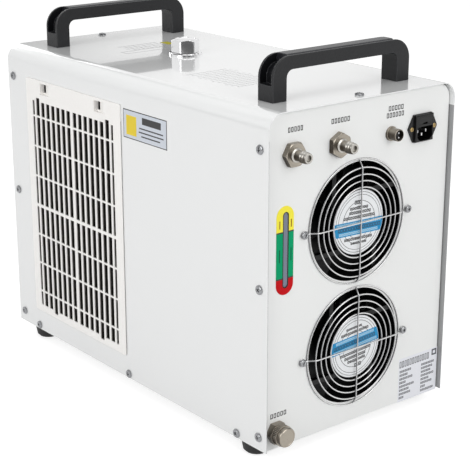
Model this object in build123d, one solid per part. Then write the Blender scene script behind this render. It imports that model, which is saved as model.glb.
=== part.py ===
from build123d import *
import os
from math import cos, radians, sin

# A recirculating chiller for cooling water, in millimetres.
# +Z is up, the front panel faces -Y, the fans face +Y and the side grille faces +X.
# The origin is on the floor, in the middle of the whole length and width.

# Clearances
seam = 0.4            # between the hood and what slides inside it
seat = 0.3            # between a piece and the curved or moving face that it rests on
hole_play = 0.15      # radial play of a screw in its hole
bearing_play = 0.05   # radial play of a fan shaft in its bearing
slide_play = 0.25     # play of a button or drawer on each side

# Cabinet sheet metal
cabinet_width = 288
cabinet_length = 545
hood_height = 394
corner_radius = 20
sheet = 1.2
pan_sheet = 1.5
pan_flange = 10
pan_drop = 1          # the pan shows this much below the hood
panel_recess = 6      # front and rear panels lie this far inside the hood
panel_bend = 3
panel_flange = 22

# Feet
foot_height = 14
foot_top_radius = 18
foot_bottom_radius = 16
foot_edge = 3
foot_inset = 18.5     # from the cabinet side to the foot's axis
foot_from_rear = 39
foot_from_front = 45
foot_pocket_radius = 7
foot_pocket_depth = 8
foot_screw_radius = 2.4
foot_screw_head = 5
foot_screw_head_height = 3

# Hood screws
screw_head_radius = 5.6
screw_head_height = 2.6
screw_shank_radius = 2
screw_length = 6
screw_from_end = 13.5
screw_heights = (16, 195, 354)
pan_screw_height = 6.2
pan_screw_from_end = 53

# Side grille, its filter and the hood window that they fill
grille_length = 220.5
grille_height = 328
grille_from_front = 48.3
grille_lift = 30.1    # above the hood's lower edge
grille_lip = 1.6
grille_overlap = 2.2
grille_corner = 3
grille_wall = 2
grille_skirt = 8
slot_plate = 3
slot_columns = 16
slot_rows = 8
slot_width = 8.6
column_pitch = 12.4
centre_rib = 6.2
slot_field_room = 39   # the grille is this much taller than its field of slots
slot_field_lift = 10.4
bar_height = 2.4
middle_bar_height = 4.2
outer_slot_width = 5
long_slot = 4.5
latch_width = 21
latch_height = 14.6
latch_spread = 128
latch_drop = 3.6       # from the grille's upper edge to the latch pocket
latch_depth = 5
latch_slot = 7
filter_thickness = 3

# Handles
handle_length = 210
handle_height = 50
handle_depth = 26
handle_leg = 20
handle_bar = 15.5
handle_corner = 24
handle_inner_corner = 9
handle_from_rear = 52
handle_from_front = 52
handle_edge = 0.8
channel_width = 19.6
channel_depth = 10
channel_lift = 18.5
channel_corner = 14
grip_length = 162
grip_rise = 1
grip_edge = 3.5
handle_screw_radius = 2.5
handle_screw_grip = 14
handle_screw_head = 5.5
handle_screw_head_height = 3

# Filler
filler_from_rear = 337
neck_flange_radius = 21
neck_flange_height = 3.5
neck_radius = 13
neck_bore = 10.5
neck_rise = 10.6
neck_into_tank = 4
cap_across_flats = 32
cap_height = 16.5
cap_chamfer = 1.5
seal_thickness = 1

# Fans
fan_x = 5.6
fan_lift = 20.5       # from the hood's lower edge up to the lower fan's frame
fan_spacing = 3.4     # between the two frames
fan_radius = 86
fan_height = 150
fan_depth = 51
fan_flange = 5
fan_bore = 71.5
fan_wall = 3.3
fan_opening = 71
fan_hole_spread = 162.6
fan_screw_radius = 2.1
fan_screw_head = 4.6
fan_screw_head_height = 2.4
motor_radius = 38.5
motor_edge = 1.5
motor_rise = 4.6      # the motor's face stands this far out of its housing, just under the guard
motor_depth = 10.5    # from the housing's face to the motor's inner face
bearing_radius = 7
bearing_length = 18
shaft_radius = 3
shaft_into_motor = 4
strut_width = 6
strut_depth = 6
strut_sink = 2.5
strut_offset = 33     # the four struts pass the motor's axis at this distance
strut_count = 4
hub_radius = 35.5
hub_wall = 2.5
hub_gap = 1.5         # axial gap between the motor and the turning hub
hub_length = 34
blade_count = 7
blade_tip_gap = 1.5
blade_root_chord = 32
blade_tip_chord = 46
blade_thickness = 2
blade_root_angle = 48
blade_tip_angle = 62

# Fan guards of welded wire
wire_radius = 1.1
guard_radius = 73.9
guard_rings = (41.5, 49, 56.5, 64.5)
guard_step = 4.6      # the inner rings stand this much further out than the outer ring
eyelet_radius = 4.6

# Water fittings on the rear panel
fitting_height = 344.5
fitting_shares = (0.729, 0.262)    # of half the cabinet's width
fitting_reach = 27
nut_across_flats = 26
nut_thickness = 7
barb_neck = 6
barb_crest = 6.9
barb_crest_length = 2
barb_tip = 5.9
barb_length = 10
barb_bore = 3.4
fitting_thread = 8
lock_nut_across_flats = 22
lock_nut_thickness = 4
tail_length = 20
hose_radius = 7

# Drain
drain_from_side = 18.3
drain_height = 20.5
drain_nut_across_flats = 24
drain_nut_thickness = 8
drain_cap_radius = 12.6
drain_cap_length = 14
drain_spout = 8
drain_spout_length = 10
drain_bore = 5

# Level gauge
gauge_share = 0.418   # of the way from the fan housing to the cabinet side
gauge_bottom = 193.4
gauge_top = 279.8
gauge_slot = 6.6
sight_tube_radius = 4
sight_tube_bore = 2.6
sight_tube_margin = 12
sight_rib = 5.8       # rib of the sight tube that fills the slot

# Mains inlet with its fuse drawer
inlet_from_side = 48.9
inlet_width = 47.6
inlet_body_width = 30
inlet_body_height = 33
inlet_flange = 2.5
inlet_rise = 3.5
inlet_depth = 26
inlet_screw_spread = 37
inlet_screw_radius = 1.5
inlet_screw_head = 2.8
inlet_screw_head_height = 1.2
socket_width = 25
socket_height = 17
socket_depth = 17
socket_chamfer = 4.5
socket_drop = 6.4     # socket's centre below the inlet's centre
socket_pin_width = 2
socket_pin_height = 4
socket_pin_length = 12
socket_pin_spread = 7
earth_pin_drop = 4
drawer_width = 23
drawer_height = 9
drawer_rise = 9.4     # drawer's centre above the inlet's centre
drawer_depth = 20
drawer_notch = 2.2

# Alarm connector
alarm_from_side = 99.2
alarm_flange_radius = 8.6
alarm_flange_thickness = 2.5
alarm_radius = 7.2
alarm_reach = 14
alarm_wall = 0.9
alarm_thread = 6.5
alarm_tail = 12
alarm_insert_sink = 4
alarm_pin_radius = 1
alarm_pin_spread = 5.4

# Temperature controller and power switch on the front panel
front_row_height = 312
controller_x = 22
controller_width = 96
controller_height = 46
controller_bezel = 3
controller_body_width = 88
controller_body_height = 38
controller_body_depth = 60
controller_corner = 3
display_width = 46
display_height = 20
display_sink = 1
display_shift = -18
display_raise = 5
button_radius = 3.6
button_rise = 1.4
button_length = 4
button_travel = 0.8
button_x = 29
button_spread = (15, 17)
switch_from_side = 62
switch_width = 31
switch_height = 24
switch_bezel = 2
switch_depth = 22
rocker_width = 22
rocker_radius = 9.6
rocker_tilt = 10
rocker_face = 5.2

# Water tank and its shelf
tank_side_room = 93    # the cabinet is this much wider than the tank
tank_depth = 175
tank_bottom = 212
tank_top_gap = 24     # from the hood's inner top to the tank
tank_wall = 1.2
tank_corner = 8
tank_from_side = 18.5
tank_ahead = 14       # tank's rear face ahead of the filler axis by this less than half its depth
port_radius = 7
port_length = 8
port_insets = {"return": 29.5, "drain": 14.5, "gauge": 49.5}    # from the tank's +X side
drain_port_rise = 28
gauge_port_rise = 40
gauge_port_drop = 32
shelf_sheet = 2
shelf_flange = 10
shelf_frame = 28
shelf_hole = 12

# Compressor
compressor_share = 0.236    # of the tank's width, which is its radius
compressor_from_rear = 364
compressor_height = 148
compressor_dome = 24
compressor_plate = 3
compressor_foot_radius = 11
compressor_foot_out = 4     # the feet stand this far outside the shell
mount_radius = 9
mount_height = 12
stub_radius = 5
stub_length = 8

# Pump
pump_share = 0.203     # of the tank's width, from its +X side to the pump's axis
pump_head_from_rear = 296
pump_head_share = 0.1744    # of the tank's width, which is the head's radius
pump_head_length = 24
pump_motor_share = 0.154    # of the tank's width, which is the motor's radius
pump_motor_length = 84
pump_axis_height = 46
pump_foot_width = 50

# Condenser
condenser_thickness = 24
condenser_behind = 18     # from the cabinet side to the condenser's outer face
condenser_plate = 1.5
condenser_margin = 4
condenser_port_drop = 32     # upper port below the top of the grille's window
fin_count = 34
fin_sheet = 2.6
fin_depth = 9

# Evaporator, filter-drier and pipes
evaporator_from_side = 44
evaporator_y = 78
evaporator_width = 50
evaporator_depth = 76
evaporator_height = 190
evaporator_lift = 22
evaporator_corner = 14
plate_count = 12
plate_step = 1.2
evaporator_port_inset = 20
drier_radius = 12
drier_length = 70
drier_behind_tank = 30.5
pipe_radius = 4
suction_radius = 5
capillary_radius = 1.6
gauge_hose_radius = 4
pipe_bend = 12
hose_bend = 18
capillary_bend = 8
line_height = 56          # bottom line of the condenser and evaporator above the floor sheet
port_line_drop = 15       # the evaporator's upper ports lie this much lower than its lower ones lie high
discharge_rise = 16
pipe_behind_tank = 24
suction_reach = 28
suction_turn = 26
liquid_reach = 30
supply_reach = 32
supply_rise = 20
suction_hose_rise = 80
outlet_hose_reach = 34
return_turn = 52
drain_turn = 60
gauge_turn = 90
gauge_drop = 22
box_from_side = 76
box_y = 110
box_width = 78
box_depth = 100
box_height = 56
box_corner = 3
lid_lip = 1.5
lid_thickness = 3

# Places that follow from the sizes above
cap_recess_depth = neck_rise + seal_thickness
slot_field_height = grille_height - slot_field_room
row_pitch = slot_field_height / (slot_rows - 1)
side = cabinet_width / 2
rear_edge = (cabinet_length - (fitting_reach - panel_recess)) / 2
front_edge = rear_edge - cabinet_length
rear_face = rear_edge - panel_recess
front_face = front_edge + panel_recess
rear_inside = rear_face - sheet
front_inside = front_face + sheet
hood_bottom = foot_height + pan_drop
hood_top = hood_bottom + hood_height
hood_ceiling = hood_top - sheet
floor_top = foot_height + pan_sheet
panel_width = cabinet_width - 2 * (sheet + seam)
panel_top = hood_ceiling - seam
row_z = hood_bottom + fitting_height
grille_y = front_edge + grille_from_front + grille_length / 2
grille_z = hood_bottom + grille_lift + grille_height / 2
window_length = grille_length - 2 * grille_overlap
window_height = grille_height - 2 * grille_overlap
filler_y = rear_edge - filler_from_rear
handle_ys = {"rear": rear_edge - handle_from_rear, "front": front_edge + handle_from_front}
fan_low = hood_bottom + fan_lift + fan_height / 2
fan_zs = {"lower": fan_low, "upper": fan_low + fan_height + fan_spacing}
tank_top = hood_ceiling - tank_top_gap
tank_rear = filler_y + tank_depth / 2 - tank_ahead
tank_mid_y = tank_rear - tank_depth / 2
drier_y = tank_rear + drier_behind_tank
tank_width = cabinet_width - tank_side_room
tank_left = tank_from_side - side
tank_right = tank_left + tank_width
tank_x = (tank_left + tank_right) / 2
fitting_x = [share * side for share in fitting_shares]
drain_x = side - drain_from_side
gauge_x = fan_x + fan_radius + gauge_share * (side - fan_x - fan_radius)
inlet_x = inlet_from_side - side
alarm_x = alarm_from_side - side
switch_x = switch_from_side - side
evaporator_x = evaporator_from_side - side
box_x = side - box_from_side
pump_x = tank_right - pump_share * tank_width
pump_head_radius = pump_head_share * tank_width
pump_motor_radius = pump_motor_share * tank_width
compressor_radius = compressor_share * tank_width
compressor_foot_circle = compressor_radius + compressor_foot_out
compressor_x = (tank_left + shelf_sheet + 4 * seat + compressor_foot_radius
                + compressor_foot_circle * cos(radians(30)))
shelf_top = tank_bottom
front_row_z = hood_bottom + front_row_height
shaft_end = shaft_into_motor - motor_depth
line_z = floor_top + line_height


# A sketch drawn in X and Z, run along Y from y0 to y1.
def along_y(sketch, y0, y1):
    return extrude(Plane.XZ.offset(-y1) * sketch, amount=y1 - y0)


# A sketch drawn in Y and Z, run along X from x0 to x1.
def along_x(sketch, x0, x1):
    return extrude(Plane.YZ.offset(x0) * sketch, amount=x1 - x0)


# A sketch drawn in X and Y, run along Z from z0 to z1.
def along_z(sketch, z0, z1):
    return extrude(Plane.XY.offset(z0) * sketch, amount=z1 - z0)


# A solid turned from (radius, height) points about its own upright axis.
def turned(*points):
    outline = Polyline(*points, close=True)
    return revolve(make_face(Plane.XZ * outline), Axis.Z)


# Places for a turned solid whose upright axis then points to the rear or the front.
def facing_rear(x, y, z):
    return Location((x, y, z)) * Rot(-90, 0, 0)


def facing_front(x, y, z):
    return Location((x, y, z)) * Rot(90, 0, 0)


# A bore with its axis along Z, from z0 to z1 in its own place.
def bore(radius, z0, z1):
    return along_z(Circle(radius), z0, z1)


# Hexagonal prism by its width across flats.
def hexagon(across_flats, z0, z1):
    return along_z(RegularPolygon(across_flats / 2, 6, major_radius=False), z0, z1)


# A round bar that follows straight runs joined by tangent arcs.
def bent_bar(radius, bend, *points):
    path = FilletPolyline(*points, radius=bend)
    section = Plane(origin=path @ 0, z_dir=path % 0) * Circle(radius)
    return sweep(section, path=path)


# A pan-head screw with its seat at height 0 and its shank below.
def pan_head_screw(head_radius, head_height, shank_radius, length):
    return turned(
        (0, -length),
        (shank_radius, -length),
        (shank_radius, 0),
        (head_radius, 0),
        (head_radius, head_height * 0.4),
        (head_radius * 0.72, head_height),
        (0, head_height),
    )


# An upright outline with its two upper corners rounded.
def arch(width, bottom, top, radius):
    outline = Pos(0, (bottom + top) / 2) * Rectangle(width, top - bottom)
    return fillet(outline.vertices().group_by(Axis.Y)[-1], radius)


# Every place where a screw holds the hood, with its axis pointing out of the hood.
def hood_screw_places():
    rear_y = rear_edge - screw_from_end
    front_y = front_edge + screw_from_end
    spots = [(y, z) for y in (rear_y, front_y) for z in screw_heights]
    middle = (rear_edge + front_edge) / 2
    row = (rear_edge - pan_screw_from_end, middle, front_edge + pan_screw_from_end)
    spots += [(y, pan_screw_height) for y in row]
    places = []
    for hand in (1, -1):
        places += [Location((hand * side, y, hood_bottom + z)) * Rot(0, 90 * hand, 0) for y, z in spots]
    return places + [Location((0, y, hood_top)) for y in (rear_y, front_y)]


def hood_screw_holes():
    hole = bore(screw_shank_radius + hole_play, -screw_length, sheet)
    return [place * hole for place in hood_screw_places()]


def foot_places():
    xs = (side - foot_inset, foot_inset - side)
    ys = (rear_edge - foot_from_rear, front_edge + foot_from_front)
    return [(x, y) for x in xs for y in ys]


def handle_screw_places():
    reach = (handle_length - handle_leg) / 2
    return [(x, y) for y in handle_ys.values() for x in (reach, -reach)]


# The hood is one sheet folded over the sides and top.
def make_hood():
    outer = along_y(arch(cabinet_width, hood_bottom, hood_top, corner_radius), front_edge, rear_edge)
    inside = arch(cabinet_width - 2 * sheet, hood_bottom - sheet, hood_ceiling, corner_radius - sheet)
    shell = outer - along_y(inside, front_edge - sheet, rear_edge + sheet)
    window = Pos(grille_y, grille_z) * RectangleRounded(window_length, window_height, grille_corner)
    shell -= along_x(window, side - 2 * sheet, side + sheet)
    shell -= hood_screw_holes()
    handle_hole = bore(handle_screw_radius + hole_play, hood_ceiling - sheet, hood_top + sheet)
    shell -= [Pos(x, y) * handle_hole for x, y in handle_screw_places()]
    return shell - Pos(0, filler_y) * bore(neck_radius + seat, hood_ceiling - sheet, hood_top + sheet)


# The base is a tray with its four edges turned up.
def make_base_pan():
    length = rear_inside - front_inside
    middle = (rear_inside + front_inside) / 2
    outline = Pos(0, middle) * RectangleRounded(panel_width, length, pan_flange / 4)
    hollow = Pos(0, middle) * RectangleRounded(
        panel_width - 2 * pan_sheet, length - 2 * pan_sheet, pan_flange / 4 - pan_sheet
    )
    tray = along_z(outline, foot_height, foot_height + pan_flange)
    tray -= along_z(hollow, floor_top, foot_height + pan_flange + pan_sheet)
    foot_hole = bore(foot_screw_radius + hole_play, 0, floor_top + pan_sheet)
    tray -= [Pos(x, y) * foot_hole for x, y in foot_places()]
    return tray - hood_screw_holes()


# A front or rear panel: a plate whose sides and top are folded inwards.
def folded_panel(face, inward):
    outline = arch(panel_width, foot_height, panel_top, corner_radius - sheet - seam)
    deep = face + inward * panel_flange
    block = along_y(outline, min(face, deep), max(face, deep))
    rim = block.edges().filter_by_position(Axis.Y, face, face).sort_by(Axis.Z)[1:]
    block = fillet(rim, panel_bend)
    hollow = arch(
        panel_width - 2 * sheet, foot_height - sheet, panel_top - sheet, corner_radius - 2 * sheet - seam
    )
    start = face + inward * sheet
    end = deep + inward * sheet
    core = along_y(hollow, min(start, end), max(start, end))
    core_rim = core.edges().filter_by_position(Axis.Y, start, start).sort_by(Axis.Z)[1:]
    block -= fillet(core_rim, panel_bend - sheet)
    relief = Pos(0, foot_height) * Rectangle(2 * panel_width, 2 * pan_flange + 2 * seam)
    block -= along_y(relief, min(start, end), max(start, end))
    return block - hood_screw_holes()


def make_rear_panel():
    panel = folded_panel(rear_face, -1)
    cuts = Sketch()
    for z in fan_zs.values():
        cuts += Pos(fan_x, z) * Circle(fan_opening)
        for hand in (1, -1):
            cuts += Pos(fan_x + hand * fan_hole_spread / 2, z) * Circle(fan_screw_radius + hole_play)
    for x in fitting_x:
        cuts += Pos(x, row_z) * Circle(fitting_thread + seat)
    cuts += Pos(alarm_x, row_z) * Circle(alarm_thread + seat)
    cuts += Pos(drain_x, hood_bottom + drain_height) * Circle(fitting_thread + seat)
    cuts += Pos(inlet_x, row_z) * Rectangle(inlet_body_width - seat, inlet_body_height - seat)
    for hand in (1, -1):
        cuts += Pos(inlet_x + hand * inlet_screw_spread / 2, row_z) * Circle(inlet_screw_radius + hole_play)
    gauge_length = gauge_top - gauge_bottom
    gauge_z = hood_bottom + gauge_bottom + gauge_length / 2
    cuts += Pos(gauge_x, gauge_z) * Rot(0, 0, 90) * SlotOverall(gauge_length, gauge_slot)
    return panel - along_y(cuts, rear_inside - sheet, rear_face + sheet)


def make_front_panel():
    panel = folded_panel(front_face, 1)
    cuts = Pos(controller_x, front_row_z) * Rectangle(
        controller_body_width + 2 * seat, controller_body_height + 2 * seat
    )
    cuts += Pos(switch_x, front_row_z) * Rectangle(
        switch_width - 2 * switch_bezel + seat, switch_height - 2 * switch_bezel + seat
    )
    return panel - along_y(cuts, front_face - sheet, front_inside + sheet)


def make_feet():
    profile = turned(
        (foot_screw_radius + hole_play, foot_pocket_depth),
        (foot_pocket_radius, foot_pocket_depth),
        (foot_pocket_radius, 0),
        (foot_bottom_radius - foot_edge, 0),
        (foot_bottom_radius, foot_edge),
        (foot_top_radius, foot_height),
        (foot_screw_radius + hole_play, foot_height),
    )
    return [Pos(x, y) * profile for x, y in foot_places()]


def make_foot_screws():
    length = foot_height - foot_pocket_depth + 2 * pan_sheet
    screw = pan_head_screw(foot_screw_head, foot_screw_head_height, foot_screw_radius, length)
    return [Location((x, y, foot_pocket_depth)) * Rot(180, 0, 0) * screw for x, y in foot_places()]


def make_hood_screws():
    screw = pan_head_screw(screw_head_radius, screw_head_height, screw_shank_radius, screw_length)
    return [place * screw for place in hood_screw_places()]


# Centre of each slot column, measured along the grille from its middle.
def column_places():
    half = slot_columns // 2
    first = (slot_width + centre_rib) / 2
    return [hand * (first + step * column_pitch) for hand in (1, -1) for step in range(half)]


# Lower and upper edge of each slot row, measured from the grille's middle.
def row_spans():
    field_middle = slot_field_lift + (slot_field_height - grille_height) / 2
    edges = [step * row_pitch for step in range(1 - slot_rows // 2, slot_rows // 2)]
    bars = [(edge, middle_bar_height if edge == 0 else bar_height) for edge in edges]
    lows = [-slot_field_height / 2] + [edge + bar / 2 for edge, bar in bars]
    highs = [edge - bar / 2 for edge, bar in bars] + [slot_field_height / 2]
    return [(field_middle + low, field_middle + high) for low, high in zip(lows, highs)]


# The moulded grille: a lip over the hood, a skirt in the window and 128 slots.
def make_side_grille():
    place = Pos(grille_y, grille_z)
    lip = along_x(place * RectangleRounded(grille_length, grille_height, grille_corner),
                  side + seat, side + seat + grille_lip)
    lip = fillet(lip.faces().sort_by(Axis.X)[-1].edges(), grille_lip / 2)
    skirt_length = window_length - 2 * seam
    skirt_height = window_height - 2 * seam
    skirt = RectangleRounded(skirt_length, skirt_height, grille_corner - seam)
    hollow = Rectangle(skirt_length - 2 * grille_wall, skirt_height - 2 * grille_wall)
    outer_face = side + seat + grille_lip
    grille = lip + along_x(place * skirt, outer_face - grille_skirt, side + seat)
    grille -= along_x(place * hollow, outer_face - grille_skirt - grille_wall, outer_face - slot_plate)
    last = slot_columns // 2 - 1
    rows = row_spans()
    slots = Sketch()
    for index, y in enumerate(column_places()):
        column = index % (last + 1)
        hand = 1 if y > 0 else -1
        width = outer_slot_width if column == last else slot_width
        shift = hand * (slot_width - width) / -2
        for row, (low, high) in enumerate(rows):
            top = high + long_slot if row == len(rows) - 1 and column == last - 1 else high
            foot = low - long_slot if row == 0 and column == last // 2 + 1 else low
            slots += Pos(y + shift, (top + foot) / 2) * Rectangle(width, top - foot)
    grille -= along_x(place * slots, outer_face - 2 * slot_plate, outer_face + slot_plate)
    for hand in (1, -1):
        grille = add_latch(grille, grille_y + hand * latch_spread / 2, outer_face)
    return grille


# A finger pocket whose floor ramps down to a slot, with the spring tongue behind it.
def add_latch(grille, y, outer_face):
    top = grille_z + grille_height / 2 - latch_drop
    z = top - latch_height / 2
    back = Pos(y, z - grille_wall / 2) * Rectangle(latch_width + 2 * grille_wall, latch_height + grille_wall)
    block = along_x(back, outer_face - latch_depth - grille_wall, outer_face - slot_plate)
    low = y - latch_width / 2
    ramp = Polyline(
        (outer_face + seat, low),
        (outer_face + seat, low + latch_width),
        (outer_face - grille_lip / 2, low + latch_width),
        (outer_face - latch_depth, low + latch_slot),
        (outer_face - latch_depth, low),
        close=True,
    )
    pocket = along_z(make_face(ramp), z - latch_height / 2, top)
    opening = along_x(Pos(low + latch_slot / 2, z) * Rectangle(latch_slot, latch_height - 2 * grille_wall),
                      outer_face - 2 * grille_skirt, outer_face)
    return grille + block - pocket - opening


def make_dust_filter():
    length = window_length - 2 * seam - 2 * grille_wall - 2 * seat
    height = slot_field_height + 2 * long_slot + seat
    back = side + seat + grille_lip - slot_plate - seat
    z = grille_z + slot_field_lift + (slot_field_height - grille_height) / 2
    return along_x(Pos(grille_y, z) * Rectangle(length, height), back - filter_thickness, back)


# The handle is a bridge whose outer side is an open channel.
def make_handle(y):
    outer = arch(handle_length, 0, handle_height, handle_corner)
    gap = arch(handle_length - 2 * handle_leg, -handle_leg, handle_height - handle_bar, handle_inner_corner)
    bridge = along_y(outer - gap, y - handle_depth / 2, y + handle_depth / 2)
    bridge = Pos(0, 0, hood_top) * bridge
    faces = bridge.faces().filter_by(Plane.XZ)
    rims = [edge for face in faces for edge in face.outer_wire().edges() if edge.center().Z > hood_top]
    bridge = fillet(rims, handle_edge)
    core = arch(handle_length - 2 * channel_depth, -handle_leg, handle_height - channel_depth, channel_corner)
    wide = Pos(0, channel_lift + handle_height) * Rectangle(2 * handle_length, 2 * handle_height)
    channel = along_y(wide - core, y - channel_width / 2, y + channel_width / 2)
    bridge -= Pos(0, 0, hood_top) * channel
    hole = bore(handle_screw_radius + hole_play, hood_top - seat, hood_top + handle_screw_grip + 1)
    reach = (handle_length - handle_leg) / 2
    return bridge - [Pos(x, y) * hole for x in (reach, -reach)]


# The grip is a rounded strip that fills the channel along the top.
def make_handle_grips():
    bottom = handle_height - channel_depth + seat
    top = handle_height + grip_rise
    strip = arch(channel_width - 2 * slide_play, bottom, top, grip_edge)
    grips = []
    for y in handle_ys.values():
        solid = along_x(Pos(y, hood_top) * strip, -grip_length / 2, grip_length / 2)
        grips.append(solid)
    return grips


def make_handle_screws():
    length = handle_screw_grip + sheet
    screw = pan_head_screw(handle_screw_head, handle_screw_head_height, handle_screw_radius, length)
    flipped = Rot(180, 0, 0) * screw
    return [Location((x, y, hood_ceiling)) * flipped for x, y in handle_screw_places()]


def make_filler_neck():
    foot = tank_top - neck_into_tank
    shape = turned(
        (neck_bore, foot),
        (neck_radius, foot),
        (neck_radius, hood_top),
        (neck_flange_radius, hood_top),
        (neck_flange_radius, hood_top + neck_flange_height * 0.6),
        (neck_flange_radius - 1, hood_top + neck_flange_height),
        (neck_radius, hood_top + neck_flange_height),
        (neck_radius, hood_top + neck_flange_height + neck_rise),
        (neck_bore, hood_top + neck_flange_height + neck_rise),
    )
    return Pos(0, filler_y) * shape


def make_filler_cap():
    base = hood_top + neck_flange_height + seat
    cap = hexagon(cap_across_flats, base, base + cap_height)
    corner_radius_out = cap_across_flats / 2 / cos(radians(30))
    dome = turned(
        (0, base),
        (corner_radius_out, base),
        (corner_radius_out, base + cap_height - cap_chamfer),
        (corner_radius_out - 2 * cap_chamfer, base + cap_height),
        (0, base + cap_height),
    )
    cap = (cap & dome) - bore(neck_radius + seat, base - seat, base + cap_recess_depth)
    return Pos(0, filler_y) * Rot(0, 0, 10) * cap


def make_cap_seal():
    ceiling = hood_top + neck_flange_height + seat + cap_recess_depth
    ring = Circle(neck_radius - seat) - Circle(neck_bore)
    return Pos(0, filler_y) * along_z(ring, ceiling - seal_thickness, ceiling)


# Fan housing with the fixed motor on its struts; its upright axis points to the rear.
def fan_frame_shape():
    outline = Circle(fan_radius) & Rectangle(2 * fan_radius, fan_height)
    hole = Circle(fan_screw_radius + hole_play)
    for hand in (1, -1):
        outline -= Pos(hand * fan_hole_spread / 2, 0) * hole
    frame = along_z(outline, -fan_flange, 0) + along_z(outline, -fan_depth, fan_flange - fan_depth)
    frame += bore(fan_bore + fan_wall, -fan_depth, 0)
    frame -= bore(fan_bore, -fan_depth - fan_flange, fan_flange)
    motor = bore(motor_radius, -motor_depth, motor_rise)
    motor = fillet(motor.faces().sort_by(Axis.Z)[-1].edges(), motor_edge)
    motor += bore(bearing_radius, -motor_depth - bearing_length, -motor_depth)
    reach = (fan_bore**2 - strut_offset**2) ** 0.5
    strut = Pos(-reach / 2 - fan_wall / 2, -strut_offset) * Rectangle(reach, strut_width)
    for step in range(strut_count):
        motor += along_z(Rot(0, 0, 360 * step / strut_count) * strut, -strut_sink - strut_depth, -strut_sink)
    motor -= bore(shaft_radius + bearing_play, -motor_depth - bearing_length - 1, shaft_end)
    return frame + motor


# One blade as a loft from a steep root to a flatter tip.
def fan_blade(mid_z):
    tip_radius = fan_bore - blade_tip_gap
    sections = []
    for radius, chord, angle in (
        (hub_radius - hub_wall / 2, blade_root_chord, blade_root_angle),
        (tip_radius + blade_thickness, blade_tip_chord, blade_tip_angle),
    ):
        station = Plane(origin=(radius, 0, mid_z), x_dir=(0, 1, 0), z_dir=(1, 0, 0))
        sections.append(station * Rot(0, 0, 90 - angle) * Rectangle(chord, blade_thickness))
    blade = loft(sections)
    return blade & bore(tip_radius, -fan_depth, 0)


# Turning hub with its blades and shaft.
def fan_rotor_shape():
    top = -motor_depth - hub_gap
    low = top - hub_length
    hub = bore(hub_radius, low, top)
    hub = fillet(hub.faces().sort_by(Axis.Z)[0].edges(), 3)
    hub -= bore(hub_radius - hub_wall, low + hub_wall, top + hub_wall)
    hub += bore(bearing_radius, low, -motor_depth - bearing_length - hub_gap)
    hub += bore(shaft_radius, low, shaft_end - hub_gap)
    blade = fan_blade((top + low) / 2)
    hub += [Rot(0, 0, 360 * step / blade_count) * blade for step in range(blade_count)]
    return hub


# Wire guard; its outer ring lies on the panel and the inner rings stand further out.
def fan_guard_shape():
    wire = RegularPolygon(wire_radius, 6)
    rest = wire_radius + seat / 3
    raised = rest + guard_step

    def ring(radius, height):
        return revolve(Plane.XZ * Pos(radius, height) * wire, Axis.Z)

    guard = ring(guard_radius, rest)
    for radius in guard_rings:
        guard += ring(radius, raised)
    over = raised + 1.6 * wire_radius
    outer = guard_rings[-1]
    eye = fan_hole_spread / 2 - eyelet_radius
    long_run = [(-eye, rest), (-guard_radius, rest), (-outer, over), (outer, over), (guard_radius, rest),
                (eye, rest)]
    short_run = [(-guard_radius, rest), (-outer, over), (outer, over), (guard_radius, rest)]
    for angle, run in ((0, long_run), (90, short_run)):
        path = Polyline(*[(u, 0, height) for u, height in run])
        section = Plane(origin=path @ 0, z_dir=path % 0) * wire
        guard += Rot(0, 0, angle) * sweep(section, path=path, transition=Transition.RIGHT)
    for hand in (1, -1):
        guard += Pos(hand * fan_hole_spread / 2, 0) * ring(eyelet_radius, rest)
    return guard


def make_fan_screws():
    length = sheet + fan_flange + 2
    screw = pan_head_screw(fan_screw_head, fan_screw_head_height, fan_screw_radius, length)
    lift = 2 * wire_radius + seat / 3
    screws = []
    for z in fan_zs.values():
        for hand in (1, -1):
            screws.append(facing_rear(fan_x + hand * fan_hole_spread / 2, rear_face + lift, z) * screw)
    return screws


# A bulkhead hose fitting with its seat on the panel at height 0.
def make_water_fitting(x, turn):
    start = fitting_reach - barb_length
    body = turned(
        (barb_bore, -tail_length - sheet),
        (barb_neck, -tail_length - sheet),
        (barb_neck, -sheet - lock_nut_thickness - 1),
        (fitting_thread, -sheet - lock_nut_thickness - 1),
        (fitting_thread, 0),
        (fitting_thread, nut_thickness + 1),
        (barb_neck, nut_thickness + 2),
        (barb_neck, start),
        (barb_crest, start),
        (barb_crest, start + barb_crest_length),
        (barb_tip, fitting_reach),
        (barb_bore, fitting_reach),
    )
    head = Rot(0, 0, turn) * hexagon(nut_across_flats, 0, nut_thickness)
    corner = nut_across_flats / 2 / cos(radians(30))
    crown = turned(
        (0, 0),
        (corner, 0),
        (corner, nut_thickness - 1),
        (corner - 2, nut_thickness),
        (0, nut_thickness),
    )
    head = (head & crown) - bore(barb_bore, -1, nut_thickness + 1)
    return facing_rear(x, rear_face, row_z) * (body + head)


def make_fitting_nuts():
    nut = hexagon(lock_nut_across_flats, -sheet - lock_nut_thickness, -sheet)
    nut -= bore(fitting_thread + hole_play, -sheet - lock_nut_thickness - 1, 0)
    places = [(x, row_z) for x in fitting_x] + [(drain_x, hood_bottom + drain_height)]
    return [facing_rear(x, rear_face, z) * nut for x, z in places]


def make_drain_fitting():
    body = turned(
        (drain_bore, -tail_length - sheet),
        (barb_neck + 1, -tail_length - sheet),
        (barb_neck + 1, -sheet - lock_nut_thickness - 1),
        (fitting_thread, -sheet - lock_nut_thickness - 1),
        (fitting_thread, 0),
        (drain_spout, drain_nut_thickness + drain_spout_length),
        (drain_bore, drain_nut_thickness + drain_spout_length),
    )
    head = hexagon(drain_nut_across_flats, 0, drain_nut_thickness) - bore(drain_bore, -1, drain_nut_thickness + 1)
    return facing_rear(drain_x, rear_face, hood_bottom + drain_height) * (body + head)


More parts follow.
